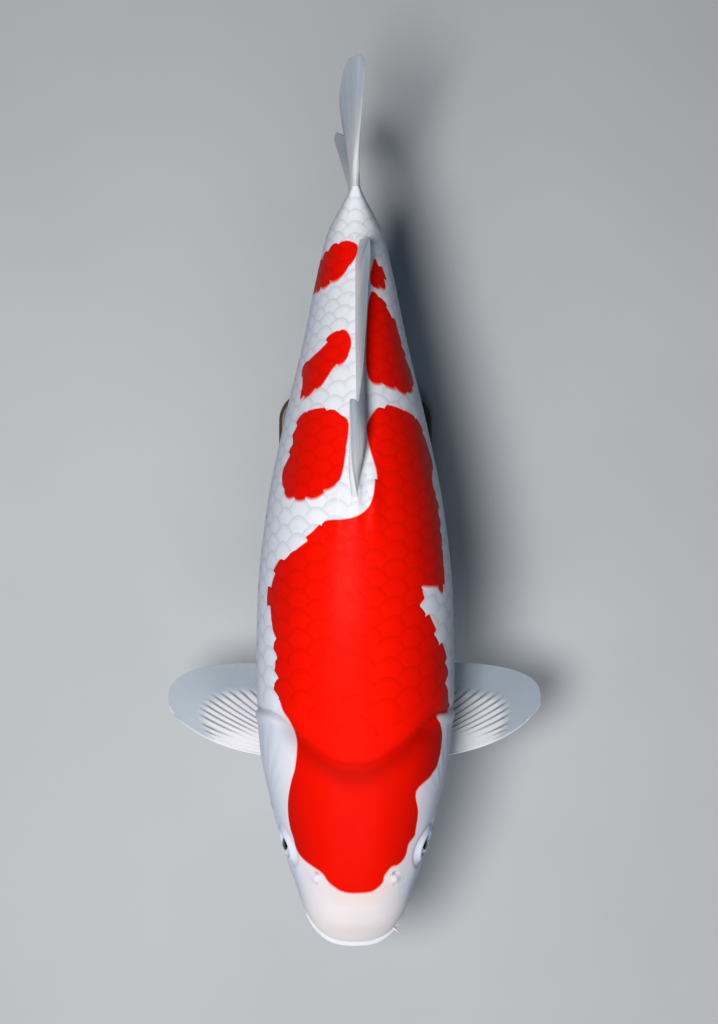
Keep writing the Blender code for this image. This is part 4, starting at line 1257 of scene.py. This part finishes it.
for label, side in bothSides.items():
    for kind, surface in (("pectoral", pectoralSurface), ("pelvic", pelvicSurface)):
        makeFin(kind + "_" + label, kind + "_fin_" + label, surface, side, pairedMaterial, finForms[kind])
for kind, surface in (("dorsal", dorsalSurface), ("anal", analSurface), ("tail", tailSurface)):
    makeFin(kind, kind + "_fin", surface, 0, middleMaterial, finForms[kind])
print("fins ready")


# display stand: dark wooden base, two steel rods
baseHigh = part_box("stand_base")[1]
standForm = {"corner": 0.030, "topRound": 0.0040, "footInset": 0.0012, "cornerSteps": 14,
             "rodRadius": 0.0060, "footRadius": 0.0150, "footChamfer": 0.0004, "footSide": 0.0036,
             "footRound": 0.0020, "neckRound": 0.0030, "rodSides": 48, "intoBody": 0.0060}


def makeWoodMaterial():
    material = newMaterial("standWood", {"Coat Weight": 0.25, "Coat Roughness": 0.12})
    grain = noise(2.4, 6.0, 0.62, 0.6, stretch=(34.0, 2.6, 34.0))
    pore = noise(1.0, 2.0, 0.5, stretch=(900.0, 40.0, 900.0))
    colour = blendColour(spread(grain, 0.34, 0.68), (0.030, 0.018, 0.012, 1), (0.105, 0.062, 0.038, 1))
    colour = blendColour(spread(pore, 0.56, 0.70, 0.0, 0.6), colour, (0.018, 0.011, 0.008, 1))
    feed(colour=colour, roughness=spread(grain, 0.3, 0.7, 0.30, 0.46))
    bumped(pore, 0.12, 0.0003)
    return material


def makeSteelMaterial():
    material = newMaterial("standSteel", {"Metallic": 1.0})
    brushed = noise(1.0, 2.0, 0.5, stretch=(60.0, 60.0, 2200.0))
    feed(roughness=spread(brushed, 0.3, 0.7, 0.18, 0.34),
         colour=blendColour(brushed, (0.52, 0.53, 0.55, 1), (0.70, 0.71, 0.73, 1)))
    bumped(brushed, 0.08, 0.0002)
    return material


# (1 - cos, sin) round a quarter turn: a rounded edge's inset and rise.
def quarterRound(steps):
    turns = [quarterTurn * k / steps for k in range(steps + 1)]
    return [(1 - math.cos(a), math.sin(a)) for a in turns]


def makePlinth():
    corner, steps, rounding = (standForm[k] for k in ("corner", "cornerSteps", "topRound"))
    profile = [(standForm["footInset"], 0.0), (0.0, standForm["footInset"])]
    profile += [(rounding * inset, baseHigh.z - rounding + rounding * rise)
                for inset, rise in quarterRound(6)]
    points = []
    for inset, z in profile:
        for quarter, (sx, sy) in enumerate(((1, 1), (-1, 1), (-1, -1), (1, -1))):
            for k in range(steps + 1):
                a = quarterTurn * (quarter + k / steps)
                points.append((sx * (baseHigh.x - corner) + (corner - inset) * math.cos(a),
                               sy * (baseHigh.y - corner) + (corner - inset) * math.sin(a), z))
    sides = 4 * (steps + 1)
    faces = gridFaces(len(profile), sides, True)[:, ::-1].tolist()
    faces += [list(range(sides))[::-1], list(range(len(points) - sides, len(points)))]
    placePiece(meshPiece("stand_plinth", points, faces, makeWoodMaterial(), sharp=35),
               "stand_wood", "stand_base")


# a turned post: its foot, the round neck above it and the rod that runs into the fish.
def makePost(label, material):
    low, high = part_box("stand_rod_" + label)
    foot, rod, sides = (standForm[k] for k in ("footRadius", "rodRadius", "rodSides"))
    chamfer, side, edge, neck = (standForm[k] for k in ("footChamfer", "footSide", "footRound", "neckRound"))
    shape = [(foot - chamfer, 0), (foot, chamfer), (foot, side)]
    shape += [(foot - edge * inset, side + edge * rise) for inset, rise in quarterRound(5)]
    shape += [(rod + neck * (1 - rise), side + edge + neck * inset) for inset, rise in quarterRound(6)]
    shape += [(rod, 0.05), (rod, high.z - low.z + standForm["intoBody"])]
    turn = evenTurns(sides)
    radius, z = (np.array(values, float)[:, None] for values in zip(*shape))
    rings = np.stack([radius * np.cos(turn), radius * np.sin(turn), z + 0 * turn], -1).reshape(-1, 3)
    points = np.concatenate([rings, [(0, 0, 0), (0, 0, shape[-1][1])]])
    points = points + [0.5 * (low.x + high.x), 0.5 * (low.y + high.y), low.z]
    post = meshPiece("stand_post_" + label, points, ringFaces(len(shape), sides, True), material, sharp=40)
    placePiece(post, "stand_steel", "stand_rod_" + label)


makePlinth()
steelMaterial = makeSteelMaterial()
for label in ("front", "rear"):
    makePost(label, steelMaterial)
print("stand ready")


# floor, light and camera
stageForm = {"floorSize": 5.0, "floorDrop": -0.0004, "sky": (0.40, 0.66, 1.0, 1), "skyStrength": 0.065}
lamps = {     # place, aim, size, power, colour
    "keyLamp": ((-0.36, -0.08, 2.05), (0.0, 0.02, 0.25), 0.55, 32.0, (1.0, 0.98, 0.95)),
    "fillLamp": ((1.6, -0.6, 1.3), (0.0, 0.0, 0.22), 1.8, 0.3, (0.50, 0.75, 1.0)),
    "frontLamp": ((-0.10, -1.25, 1.40), (0.0, -0.25, 0.22), 0.9, 8.5, (1.0, 1.0, 1.0)),
}
view = {"place": (0.0036, 0.0770, 1.8300), "lens": 62.57, "sensor": 36.0}


def makeStage():
    material = newMaterial("paleFloor", {"Roughness": 0.75})
    shade = spread(noise(3.0), 0.3, 0.7)
    feed(colour=blendColour(shade, (0.50, 0.52, 0.54, 1), (0.54, 0.56, 0.58, 1)))
    size, drop = stageForm["floorSize"], stageForm["floorDrop"]
    points = [(-size, -size, drop), (size, -size, drop), (size, size, drop), (-size, size, drop)]
    floor = meshPiece("studio_floor", points, [(0, 1, 2, 3)], material)

    world = bpy.data.worlds.new("studioWorld")
    world.use_nodes = True
    background = world.node_tree.nodes["Background"]
    background.inputs["Color"].default_value = stageForm["sky"]
    background.inputs["Strength"].default_value = stageForm["skyStrength"]
    bpy.context.scene.world = world
    for name, (place, aim, width, power, tint) in lamps.items():
        lamp = bpy.data.lights.new(name, "AREA")
        lamp.shape, lamp.size, lamp.energy, lamp.color = "DISK", width, power, tint
        lampObject = bpy.data.objects.new(name, lamp)
        lampObject.location = place
        lampObject.rotation_euler = (Vector(aim) - Vector(place)).to_track_quat("-Z", "Y").to_euler()
        bpy.context.scene.collection.objects.link(lampObject)


def makeCamera():
    camera = bpy.data.objects.new("mainCamera", bpy.data.cameras.new("mainCamera"))
    camera.data.lens, camera.data.sensor_width = view["lens"], view["sensor"]
    camera.location = view["place"]      # straight above, the fish's tail at the top
    bpy.context.scene.collection.objects.link(camera)
    bpy.context.scene.camera = camera


makeStage()
makeCamera()
bpy.context.scene.view_settings.view_transform = "Standard"
print("stage ready")
